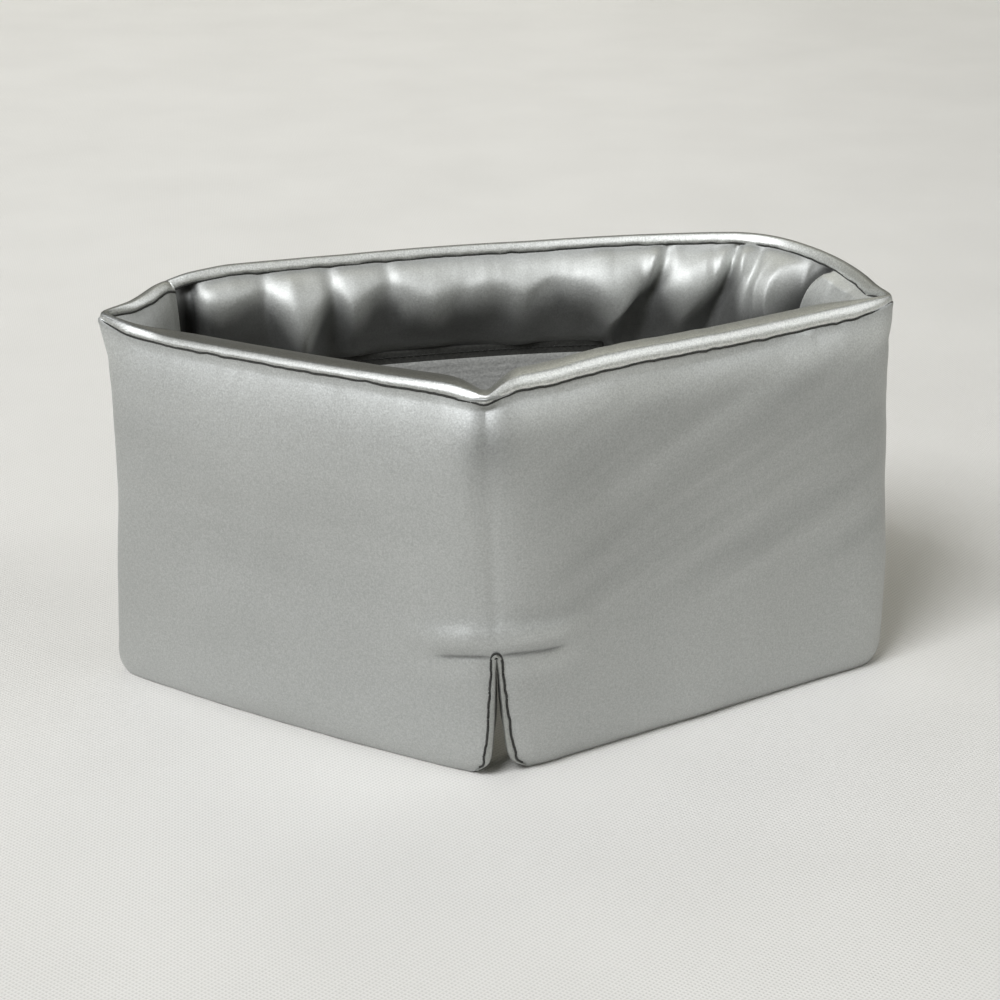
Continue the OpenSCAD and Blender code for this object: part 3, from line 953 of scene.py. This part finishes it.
# the section runs up the outside, so check the facing once on a front face and turn all if needed
test = [i for i in range(len(all_faces)) if face_col[i] == FJR + 20 and face_row[i] >= 0
        and FKIND[face_row[i]] == "out"][10]
p = body[all_faces[test]]
if np.cross(p[1] - p[0], p[2] - p[0])[1] > 0:
    all_faces = [q[::-1] for q in all_faces]
bn = whole_normals(body, all_faces)
cut_cols = [0] + [int(np.argmin(np.abs(FCOL - c))) for c in CUTS[1:-1]] + [FC - 1]
CAD = {
    "closure": [k + "_tab" for k in ("outer_shell", "padding", "lining")],
    "back": [k + "_back" for k in ("outer_shell", "padding", "lining")],
    "side": [k + "_side" for k in ("outer_shell", "padding", "lining")]
    + [k + "_front_right" for k in ("outer_shell", "padding", "lining")],
    "front": [k + "_front_left" for k in ("outer_shell", "padding", "lining")],
    "end": [k + "_end" for k in ("outer_shell", "padding", "lining")],
}
padded = []
for k, (name, *_rest) in enumerate(STRETCH):
    lo, hi = cut_cols[k], cut_cols[k + 1]
    pick = [i for i in range(len(all_faces)) if lo <= face_col[i] < hi
            or (face_row[i] < 0 and face_col[i] in (FJR, FJL) and lo <= face_col[i] <= hi)]
    used = sorted({v for i in pick for v in all_faces[i]})
    back_to = {v: j for j, v in enumerate(used)}
    fs = [[back_to[v] for v in all_faces[i]] for i in pick]
    half = last_out + 1
    fm = [0 if (face_row[i] < 0 or FKIND[face_row[i]] in ("out", "low")) else 1 for i in pick]
    ob = finish_piece("padded_band_" + name, body[used], fs, [M_SHELL, M_LINING], k,
                      normals=bn[used], face_mat=fm, tone=shade[used])
    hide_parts(*CAD[name])
    padded.append(ob)


# ---------------------------------------------------------------- strips swept along the band
def fine_path(step):
    n = int(round(S[-1] / step)) + 1
    return np.linspace(0, S[-1], n)


def on_band(s, o, z, f, sig=None):
    """Points beside the band at place s, o inwards, height z."""
    P0 = A0 + B0 * np.interp(S, s, o)[:, None]
    P = lean(soften(P0, corner_sigma(f) if sig is None else sig), f)
    return np.column_stack([np.interp(s, S, P[:, 0]), np.interp(s, S, P[:, 1]), z])


def swept(name, lines, closed, mats, slot, replaced, face_mat=None, cap=True, only=None):
    """A surface through several lines along the band; each face keeps its place along the band and its lane."""
    L = np.array(lines)                               # line, place, xyz
    nl, npl = L.shape[:2]
    idx2 = np.arange(nl * npl).reshape(nl, npl)
    co = L.reshape(-1, 3)
    faces, col, lane = [], [], []
    rng = nl if closed else nl - 1
    for j in range(rng):
        j2 = (j + 1) % nl
        for c in range(npl - 1):
            faces.append([int(idx2[j, c]), int(idx2[j, c + 1]), int(idx2[j2, c + 1]), int(idx2[j2, c])])
            col.append(c)
            lane.append(j)
    if closed and cap:
        for c, flip in ((0, False), (npl - 1, True)):
            ring = [int(idx2[j, c]) for j in range(nl)]
            faces.append(ring if flip else ring[::-1])
            col.append(min(c, npl - 2))
            lane.append(0)
    return co, faces, np.array(col), np.array(lane)


def cut_swept(name, co, faces, col, lane, places, mats, replaced, face_mat=None, tone=None):
    n = whole_normals(co, faces)
    outs = []
    for k, (st, *_r) in enumerate(STRETCH):
        lo, hi = CUTS[k], CUTS[k + 1]
        a = int(np.argmin(np.abs(places - lo)))
        b = int(np.argmin(np.abs(places - hi)))
        pick = [i for i in range(len(faces)) if a <= col[i] < b]
        if not pick:
            continue
        used = sorted({v for i in pick for v in faces[i]})
        bt = {v: j for j, v in enumerate(used)}
        fs = [[bt[v] for v in faces[i]] for i in pick]
        fm = None if face_mat is None else [face_mat[lane[i]] for i in pick]
        ob = finish_piece(name + "_" + st, co[used], fs, mats, k, normals=n[used], face_mat=fm,
                          tone=None if tone is None else tone[used])
        for node in replaced.get(st, []):
            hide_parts(node)
        outs.append(ob)
    return outs


def orient(co, faces, col, probe, direction):
    """Turns every face if the one nearest the probe faces the wrong way."""
    mids = np.array([co[q].mean(0) for q in faces[:len(col)]])
    i = int(np.argmin(np.linalg.norm(mids - probe, axis=1)))
    p = co[faces[i]]
    if np.dot(np.cross(p[1] - p[0], p[2] - p[0]), direction) < 0:
        return [q[::-1] for q in faces]
    return faces


# the rolled binding along the top edge
places = fine_path(1.3)
gath = 0.22 * noise1(places, 3.0, 61) + 0.18 * noise1(places, 7.5, 62)
gin = 0.24 * noise1(places, 2.8, 63) + 0.26 * noise1(places, 8.0, 64)
# the strip stands in small humps on the right of the centre
hump = 0.55 * noise1(places, 11.0, 65) * window(places, s_at("fr", 0.45), s_at("fr", 1.0), 10)
pinch = np.interp(places, S, PINCH)
dip = np.interp(places, S, NIP["C0"])
rim_h = np.interp(places, S, RIM)
T_ = np.interp(places, S, TOP) + hump - 1.3 * dip
th = np.interp(places, S, THICK)
so_ = np.interp(places, S, SEAM_OUT)
si_ = np.interp(places, S, SEAM_IN)
wo, wi = so_ + 0.4 * pinch, th - si_ - 3.0 * pinch - 0.6 * dip
lines = []
# (side 0 outer .. 1 inner across, inset from that side, height below the top, gather weight)
PROFILE = [(0, 0.9, 1.1, 0.3), (0, 0.15, 0.99, 1.0), (0, -0.1, 0.83, 0.9), (0, 0.15, 0.62, 0.5),
           (0, 0.6, 0.42, 0.35), (0, 1.15, 0.25, 0.25), (0, 1.5, 0.14, 0.2), (0, 2.0, 0.075, 0.1),
           (0.5, 0, -0.0, 0.0),
           (1, 1.9, 0.075, 0.1), (1, 1.5, 0.14, 0.2), (1, 1.15, 0.25, 0.25), (1, 0.6, 0.42, 0.35),
           (1, 0.15, 0.62, 0.5), (1, -0.1, 0.83, 0.9), (1, 0.15, 0.99, 1.0), (1, 0.9, 1.1, 0.3)]
nar = (1 - 0.55 * np.clip(pinch, 0, 1)) * np.clip((wi - wo) / 5.0, 0.2, 1.0)   # less where it is nipped
on_front = window(places, S_CR, S_CL, 10)
rim_face_highlight = 1.30 - 0.50 * step01((places - S_C0) / 30.0 + 0.5)   # painted highlight on the binding's front strip, brighter on the right panel than on the left
# each lane of the binding gets painted light and shade: a painted highlight on its faces and painted shade across its
# top
rim_light_and_shade = []
for side, inset, drop, gw in PROFILE:
    if side == 0:
        o = wo + inset * nar + gath * gw * 0.6
        dz = gath * gw
    elif side == 1:
        o = wi - inset * nar - gin * gw * 0.6
        dz = gin * gw
    else:
        o = (wo + wi) / 2
        dz = 0
    lines.append(on_band(places, o, T_ - drop * rim_h + dz, 1.0, 0.9))
    top_out = step01((inset - 0.8) / 0.9) if side == 0 else 1.0 if side == 0.5 else 1 - step01((drop - 0.2) / 0.3)
    top_in = step01((inset - 1.5) / 0.6) * 0.9 if side == 1 else 1.0 if side == 0.5 else 1 - step01((drop - 0.3) / 0.4)
    flat = on_front * top_out + (1 - on_front) * top_in
    rim_light_and_shade.append(on_front * (rim_face_highlight - 0.52 * flat) + (1 - on_front) * (1.20 - 0.92 * flat))
co, faces, col, lane = swept("rim", lines, True, None, None, None)
faces = orient(co, faces, col, np.array([-3.0, -66.0, 118.0]), np.array([0, 0, 1.0]))
rim = cut_swept("rim_roll", co, faces, col, lane, places, [M_RIM],
                {"closure": ["rim_binding_tab"], "back": ["rim_binding_back"],
                 "side": ["rim_binding_side", "rim_binding_front_right"],
                 "front": ["rim_binding_front_left"], "end": ["rim_binding_end"]},
                tone=np.array(rim_light_and_shade).ravel())


# the sewn line under the binding, outside and inside: a near-black cord, the thread and a painted shadow of the groove
# along the seam
def cord_lines(centre, r, n=6, squash=1.0):
    """Lines round a thin cord that follows centre."""
    t = np.gradient(centre, axis=0)
    t /= np.linalg.norm(t, axis=1)[:, None]
    up = np.array([0, 0, 1.0]) - t * t[:, 2:3]
    up /= np.linalg.norm(up, axis=1)[:, None]
    sd = np.cross(t, up)
    return [centre + r * (math.cos(a) * up + squash * math.sin(a) * sd)
            for a in np.linspace(0, 2 * math.pi, n, endpoint=False)]


for nm, seam_o, wave, seed in (("seam_outer", wo + 0.1, gath, 71), ("seam_inner", wi - 0.1, gin, 72)):
    z = T_ - rim_h - 0.1 + wave * 1.0 + 0.12 * noise1(places, 2.0, seed)
    mid = on_band(places, seam_o + (wave * 0.5 if nm == "seam_outer" else -wave * 0.5), z, 1.0, 0.9)
    co, faces, col, lane = swept(nm, cord_lines(mid, 0.36), True, None, None, None)
    faces = orient(co, faces, col, mid[len(mid) // 2] + np.array([0, 0, 3.0]), np.array([0, 0, 1.0]))
    cut_swept(nm, co, faces, col, lane, places, [M_THREAD_AND_SEAM_SHADE], {})


# ---------------------------------------------------------------- binding of the nose slit
def flap_face(side, kind, zs):
    """The face of one flap beside the slit: its points at each height, and their distance from the edge."""
    cols = [FJR - i for i in range(14)] if side > 0 else [FJL + i for i in range(14)]
    ids = [r for r in range(FR) if FKIND[r] == kind]
    P = np.zeros((len(zs), len(cols), 3))
    for i, c in enumerate(cols):
        q = F[c, ids]
        q = q[np.argsort(q[:, 2])]
        for k in range(2):
            P[:, i, k] = np.interp(zs, q[:, 2], q[:, k])
        P[:, i, 2] = zs
    d = np.concatenate([np.zeros((len(zs), 1)), np.cumsum(np.linalg.norm(np.diff(P, axis=1), axis=2), axis=1)], 1)
    return P, d


def on_flap(P, d, w):
    w = np.broadcast_to(np.asarray(w, float), (len(P),))
    return np.array([[np.interp(w[i], d[i], P[i, :, k]) for k in range(3)] for i in range(len(P))])


def build_slit(side):
    zs = np.linspace(1.5, SLIT_TOP - 0.6, 60)
    PA, dA = flap_face(side, "out", zs)
    PB, dB = flap_face(side, "in", zs)
    A, B = PA[:, 0], PB[:, 0]
    inward = B - A
    depth = np.linalg.norm(inward, axis=1)[:, None]
    inward /= depth
    away = on_flap(PA, dA, 1.5) - A
    away /= np.linalg.norm(away, axis=1)[:, None]
    seed = 81 if side > 0 else 82
    wob = 0.38 * noise1(zs, 4.6, seed) + 0.22 * noise1(zs, 2.0, seed + 2)
    wob *= np.clip((zs - 1) / 5, 0, 1)
    w = (1.35 + wob) * np.clip(0.3 + zs / 10.0, 0, 1) * np.interp(zs, [22, 36], [1, 0.62])
    edge = on_flap(PA, dA, w)
    lines = [edge + inward * 0.25]
    for f, dep in ((0.92, -0.42), (0.62, -0.66), (0.28, -0.62), (0.0, -0.3)):
        lines.append(on_flap(PA, dA, w * f) + inward * dep - away * (0.25 if f == 0 else 0.0))
    lines.append(A + inward * 0.5 - away * (0.5 + 0.4 * wob[:, None]))
    lines.append(A + inward * np.minimum(2.4, depth * 0.4) - away * 0.3)
    lines.append(B - inward * np.minimum(2.4, depth * 0.4) - away * 0.3)
    lines.append(B - away * 0.4 + inward * 0.35)
    lines.append(on_flap(PB, dB, 0.9) + inward * 0.5)
    lines.append(on_flap(PB, dB, 1.7) - inward * 0.2)
    L = np.array(lines)
    nl, n = L.shape[:2]
    co = L.reshape(-1, 3)
    ix = np.arange(nl * n).reshape(nl, n)
    faces = [[int(ix[j, i]), int(ix[j, i + 1]), int(ix[j + 1, i + 1]), int(ix[j + 1, i])]
             for j in range(nl - 1) for i in range(n - 1)]
    p = co[faces[6 * (n - 1) + 20]]
    if np.dot(np.cross(p[1] - p[0], p[2] - p[0]), -away[20]) < 0:
        faces = [q[::-1] for q in faces]
    nm = "slit_binding_right_piece" if side > 0 else "slit_binding_left_piece"
    ob = finish_piece(nm, co, faces, [M_BIND], 3, normals=whole_normals(co, faces))
    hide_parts("slit_binding_right" if side > 0 else "slit_binding_left")
    return on_flap(PA, dA, w + 0.22) - inward * 0.12, A, away, inward


seam_r, edge_r, away_r, in_r = build_slit(1)
seam_l, edge_l, away_l, in_l = build_slit(-1)
# one dark sewn line up the left edge, round the apex and down the right edge
top_l, top_r = seam_l[-1], seam_r[-1]
arc = []
for t in np.linspace(0, 1, 13)[1:-1]:
    a = math.pi * (1 - t)
    c = (top_l + top_r) / 2
    hw = (top_r - top_l) / 2
    arc.append(c - hw * math.cos(math.pi * t) + np.array([0, -0.55 * math.sin(math.pi * t), 1.7 * math.sin(math.pi * t)]))
line = np.vstack([seam_l[2:], np.array(arc), seam_r[2:][::-1]])
L = np.array(cord_lines(line, 0.36))
nl, n = L.shape[:2]
ix = np.arange(nl * n).reshape(nl, n)
fs = [[int(ix[j, i]), int(ix[j, i + 1]), int(ix[(j + 1) % nl, i + 1]), int(ix[(j + 1) % nl, i])]
      for j in range(nl) for i in range(n - 1)]
finish_piece("slit_seam", L.reshape(-1, 3), fs, [M_THREAD_AND_SEAM_SHADE], 3)
# the bound apex between the two edges
arch = []
for q, dy in ((1.0, 0.0), (0.72, -0.5), (0.4, -0.3), (0.2, 1.2), (0.2, 5.0)):
    ring = []
    for t in np.linspace(0, 1, 15):
        c = (top_l + top_r) / 2 + np.array([0, 0, -0.2])
        hw = (top_r - top_l) / 2
        ring.append(c - hw * q * math.cos(math.pi * t) + np.array([0, dy - 0.4, 1.7 * q * math.sin(math.pi * t)]))
    arch.append(ring)
L = np.array(arch)
nl, n = L.shape[:2]
ix = np.arange(nl * n).reshape(nl, n)
fs = [[int(ix[j, i]), int(ix[j + 1, i]), int(ix[j + 1, i + 1]), int(ix[j, i + 1])]
      for j in range(nl - 1) for i in range(n - 1)]
finish_piece("slit_apex_binding", L.reshape(-1, 3), fs, [M_BIND], 3)


# ---------------------------------------------------------------- hook and loop tapes
def surface_grid(kind, ss, zs, lift, smooth=5.0):
    """A patch that lies on the outer or the inner face, evened out like a stiff tape."""
    ids = [r for r in range(FR) if FKIND[r] == kind]
    cols = np.array([c for c in range(FC) if c != FJL])
    P = F[cols][:, ids]
    sc = FCOL[cols]
    order = np.argsort(P[0, :, 2])
    P = P[:, order]
    out = np.zeros((len(ss), len(zs), 3))
    tmp = np.zeros((len(cols), len(zs), 2))
    for i in range(len(cols)):
        for k in range(2):
            tmp[i, :, k] = np.interp(zs, P[i, :, 2], P[i, :, k])
    mean = tmp[:, (zs > zs[0] + 4) & (zs < zs[-1] - 4)].mean(axis=1)
    mean = smooth1(mean, smooth, float(np.median(np.diff(sc))))
    for k in range(2):
        out[:, :, k] = np.interp(ss, sc, mean[:, k])[:, None]
    out[:, :, 2] = zs[None, :]
    t = np.gradient(out[:, 0, :2], axis=0)
    t /= np.linalg.norm(t, axis=1)[:, None]
    inward = np.stack([t[:, 1], -t[:, 0]], 1)
    sgn = 1 if kind == "in" else -1
    return out, inward * sgn


def tape(name, kind, s0, s1, z0, z1, lift, thick, k, mats, node, bumps, edge=3.6, ribs=True):
    ds, dz = 0.8, 0.55
    ss = np.linspace(s0, s1, int((s1 - s0) / ds) + 1)
    zs = np.linspace(z0, z1, int((z1 - z0) / dz) + 1)
    P, nrm = surface_grid(kind, ss, zs, lift)
    e = np.minimum(np.minimum(ss - s0, s1 - ss)[:, None], np.minimum(zs - z0, z1 - zs)[None, :])
    body_ = np.clip(e / 0.6, 0, 1) ** 0.5
    pile = np.clip((e - edge) / 0.8, 0, 1)
    rs = np.random.RandomState(bumps)
    h = thick * (0.45 + 0.25 * body_) + pile * (0.35 * thick)
    if ribs:
        h = h + pile * 0.07 * (0.6 * np.sin(2 * math.pi * zs / 2.2)[None, :] + rs.uniform(-1, 1, (len(ss), len(zs))))
    top = P.copy()
    top[:, :, :2] += nrm[:, None, :] * (lift + h)[..., None]
    base = P.copy()
    base[:, :, :2] += nrm[:, None, :] * (lift - 0.5)
    a, b = len(ss), len(zs)
    co = np.concatenate([top.reshape(-1, 3), base.reshape(-1, 3)])
    ix = np.arange(a * b).reshape(a, b)
    faces, fm = [], []
    for i in range(a - 1):
        for j in range(b - 1):
            faces.append([int(ix[i, j]), int(ix[i + 1, j]), int(ix[i + 1, j + 1]), int(ix[i, j + 1])])
            fm.append(1 if min(e[i, j], e[i + 1, j + 1]) < edge else 0)
    off = a * b
    edge_loop = [ix[i, 0] for i in range(a)] + [ix[a - 1, j] for j in range(1, b)] \
        + [ix[i, b - 1] for i in range(a - 2, -1, -1)] + [ix[0, j] for j in range(b - 2, 0, -1)]
    for i in range(len(edge_loop)):
        p, q = int(edge_loop[i]), int(edge_loop[(i + 1) % len(edge_loop)])
        faces.append([q, p, p + off, q + off])
        fm.append(1)
    p = co[faces[0]]
    nn = np.cross(p[1] - p[0], p[2] - p[0])
    if np.dot(nn[:2], nrm[0]) < 0:
        faces = [f[::-1] for f in faces]
    ob = finish_piece(name, co, faces, mats, k, normals=None, face_mat=fm)
    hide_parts(*node)
    return P, nrm, ss, zs


P, nrm, ss, zs = tape("loop_tape_piece", "in", S_TAPE0, S_TAPE1, TZ0, TZ1, 0.5, 1.0, 0, [M_TAPE, M_TAPE_EDGE],
                      ("loop_tape_back", "loop_tape_tab"), 5)
tape("hook_tape_piece", "out", S_CL + 12.6, S[-1] - 3.2, TZ0, TZ1, 0.1, 0.9, 4, [M_HOOK, M_TAPE_EDGE],
     ("hook_tape",), 9, edge=2.0)

# stitches along the tape's edges
st_co, st_f = [], []


def stitch(a, b, r):
    t = b - a
    t = t / np.linalg.norm(t)
    s1 = np.cross(t, [0, 0, 1.0])
    if np.linalg.norm(s1) < 0.1:
        s1 = np.cross(t, [0, 1.0, 0])
    s1 /= np.linalg.norm(s1)
    s2 = np.cross(t, s1)
    base = len(st_co)
    for f, w in ((-0.05, 0.35), (0.2, 1.0), (0.8, 1.0), (1.05, 0.35)):
        c = a + (b - a) * f
        for q in range(5):
            an = 2 * math.pi * q / 5
            st_co.append(c + r * w * (math.cos(an) * s1 + math.sin(an) * s2))
    for i in range(3):
        for q in range(5):
            st_f.append([base + i * 5 + q, base + i * 5 + (q + 1) % 5, base + (i + 1) * 5 + (q + 1) % 5,
                         base + (i + 1) * 5 + q])
    st_f.append([base + q for q in range(5)][::-1])
    st_f.append([base + 15 + q for q in range(5)])


def tape_point(s, z, lift):
    x = np.interp(s, ss, P[:, 0, 0])
    y = np.interp(s, ss, P[:, 0, 1])
    nx = np.interp(s, ss, nrm[:, 0])
    ny = np.interp(s, ss, nrm[:, 1])
    return np.array([x + nx * lift, y + ny * lift, z])


for z in (TZ0 + 1.7, TZ1 - 1.7):
    s = S_TAPE0 + 1.5
    while s < S_TAPE1 - 3:
        stitch(tape_point(s, z, 1.32), tape_point(s + 1.7, z, 1.32), 0.2)
        s += 2.5
for s in (S_TAPE0 + 1.7, S_TAPE1 - 1.7):
    z = TZ0 + 2.5
    while z < TZ1 - 3:
        stitch(tape_point(s, z, 1.32), tape_point(s, z + 1.7, 1.32), 0.2)
        z += 2.5
ob = finish_piece("loop_tape_stitches", np.array(st_co), st_f, [M_THREAD_AND_SEAM_SHADE], 0)
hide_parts("loop_tape_stitching")


# ---------------------------------------------------------------- floor, light and camera
def floor():
    me = bpy.data.meshes.new("floor")
    w = 3.2
    me.from_pydata([(-w, -w, 0), (w, -w, 0), (w, w, 0), (-w, w, 0)], [], [(0, 1, 2, 3)])
    ob = bpy.data.objects.new("floor", me)
    bpy.context.scene.collection.objects.link(ob)
    m, nt, ns, lk, b = nodes_of("canvas_mat")
    tc = ns.new("ShaderNodeTexCoord")
    waves = []
    for ang in (38, -52):
        mp = ns.new("ShaderNodeMapping")
        mp.inputs["Rotation"].default_value = (0, 0, math.radians(ang))
        lk.new(tc.outputs["Object"], mp.inputs["Vector"])
        wv = ns.new("ShaderNodeTexWave")
        wv.inputs["Scale"].default_value = 270
        wv.inputs["Distortion"].default_value = 0.6
        wv.inputs["Detail"].default_value = 1
        lk.new(mp.outputs["Vector"], wv.inputs["Vector"])
        waves.append(wv)
    mul = ns.new("ShaderNodeMath")
    mul.operation = "MAXIMUM"
    lk.new(waves[0].outputs["Fac"], mul.inputs[0])
    lk.new(waves[1].outputs["Fac"], mul.inputs[1])
    no = ns.new("ShaderNodeTexNoise")
    no.inputs["Scale"].default_value = 14
    lk.new(tc.outputs["Object"], no.inputs["Vector"])
    sm = ns.new("ShaderNodeMath")
    sm.operation = "MULTIPLY_ADD"
    sm.inputs[1].default_value = 0.62
    lk.new(mul.outputs[0], sm.inputs[0])
    n2 = ns.new("ShaderNodeMath")
    n2.operation = "MULTIPLY"
    n2.inputs[1].default_value = 0.38
    lk.new(no.outputs["Fac"], n2.inputs[0])
    lk.new(n2.outputs[0], sm.inputs[2])
    c = ramp(nt, [(0.2, (0.66, 0.648, 0.620)), (0.85, (0.80, 0.787, 0.757))])
    lk.new(sm.outputs[0], c.inputs["Fac"])
    sp = ns.new("ShaderNodeSeparateXYZ")
    lk.new(tc.outputs["Object"], sp.inputs[0])
    # painted light: the floor grows brighter towards the back
    far_floor_light = ns.new("ShaderNodeMapRange")
    far_floor_light.inputs["From Min"].default_value = -0.45
    far_floor_light.inputs["From Max"].default_value = 1.2
    far_floor_light.inputs["To Min"].default_value = 0.83
    far_floor_light.inputs["To Max"].default_value = 1.17
    lk.new(sp.outputs["Y"], far_floor_light.inputs["Value"])
    sc = ns.new("ShaderNodeVectorMath")
    sc.operation = "SCALE"
    lk.new(c.outputs["Color"], sc.inputs[0])
    lk.new(far_floor_light.outputs["Result"], sc.inputs["Scale"])
    # painted shade: the floor grows darker towards the right
    right_floor_shade = ns.new("ShaderNodeMapRange")
    right_floor_shade.interpolation_type = "SMOOTHSTEP"
    right_floor_shade.inputs["From Min"].default_value = 0.03
    right_floor_shade.inputs["From Max"].default_value = 0.34
    right_floor_shade.inputs["To Min"].default_value = 1.0
    right_floor_shade.inputs["To Max"].default_value = 0.89
    lk.new(sp.outputs["X"], right_floor_shade.inputs["Value"])
    sx = ns.new("ShaderNodeVectorMath")
    sx.operation = "SCALE"
    lk.new(sc.outputs["Vector"], sx.inputs[0])
    lk.new(right_floor_shade.outputs["Result"], sx.inputs["Scale"])
    lk.new(sx.outputs["Vector"], b.inputs["Base Color"])
    b.inputs["Roughness"].default_value = 0.9
    b.inputs["Specular IOR Level"].default_value = 0.2
    bp = ns.new("ShaderNodeBump")
    bp.inputs["Strength"].default_value = 0.35
    bp.inputs["Distance"].default_value = 0.00025
    lk.new(mul.outputs[0], bp.inputs["Height"])
    lk.new(bp.outputs["Normal"], b.inputs["Normal"])
    me.materials.append(m)
    return ob


floor()


def area(name, pos, target, size, power, color=(1, 1, 1), size_y=None):
    d = bpy.data.lights.new(name, "AREA")
    d.energy = power
    d.color = color
    d.shape = "RECTANGLE"
    d.size = size
    d.size_y = size_y or size
    ob = bpy.data.objects.new(name, d)
    bpy.context.scene.collection.objects.link(ob)
    ob.location = pos
    ob.rotation_euler = (Vector(target) - Vector(pos)).to_track_quat("-Z", "Y").to_euler()
    return ob


lo, hi = (np.array(v) for v in cad_box)
mid = (lo + hi) / 2


def soft_box(name, azimuth, elevation, distance, wide, tall, radiance, color=(1, 1, 1), target=None):
    """A square panel of light that faces the object; radiance sets how bright it looks in a reflection."""
    a, e = math.radians(azimuth), math.radians(elevation)
    pos = (mid[0] + distance * math.cos(e) * math.cos(a), mid[1] + distance * math.cos(e) * math.sin(a),
           distance * math.sin(e))
    return area(name, pos, target or tuple(mid), wide, radiance * math.pi * wide * tall, color, size_y=tall)


COOL = (0.95, 0.965, 1.0)
WARM = (1.0, 0.97, 0.84)
soft_box("key", -126, 50, 5.0, 2.15, 2.15, 15.0, COOL)
soft_box("left", -160, 38, 2.8, 2.4, 1.6, 1.35, COOL)
soft_box("right", -16, 40, 2.8, 1.7, 1.2, 2.4, COOL)
soft_box("over", -90, 80, 2.8, 1.5, 1.5, 0.7, COOL)
soft_box("back", 85, 50, 3.6, 2.6, 1.2, 1.6, WARM, target=(0, 0.9, 0))
world = bpy.data.worlds.new("soft")
bpy.context.scene.world = world
world.use_nodes = True
bg = world.node_tree.nodes["Background"]
bg.inputs["Color"].default_value = (1.0, 0.96, 0.66, 1)
bg.inputs["Strength"].default_value = 0.10
# the room behind the stage looks as pale as the floor, without lighting the mask any more
wn = world.node_tree
pale = wn.nodes.new("ShaderNodeBackground")
pale.inputs["Color"].default_value = (0.72, 0.705, 0.67, 1)
both = wn.nodes.new("ShaderNodeMixShader")
path = wn.nodes.new("ShaderNodeLightPath")
wn.links.new(path.outputs["Is Camera Ray"], both.inputs[0])
wn.links.new(bg.outputs[0], both.inputs[1])
wn.links.new(pale.outputs[0], both.inputs[2])
wn.links.new(both.outputs[0], wn.nodes["World Output"].inputs["Surface"])

cam = bpy.data.cameras.new("camera")
cam.sensor_width = 36
cam.lens = 86.4
cam_ob = bpy.data.objects.new("camera", cam)
bpy.context.scene.collection.objects.link(cam_ob)
cam_ob.location = (mid[0] - 0.0001, lo[1] - 0.596, 0.326)
cam_ob.rotation_euler = (math.radians(90 - 22), 0, 0)
bpy.context.scene.camera = cam_ob
bpy.context.scene.view_settings.view_transform = "Standard"
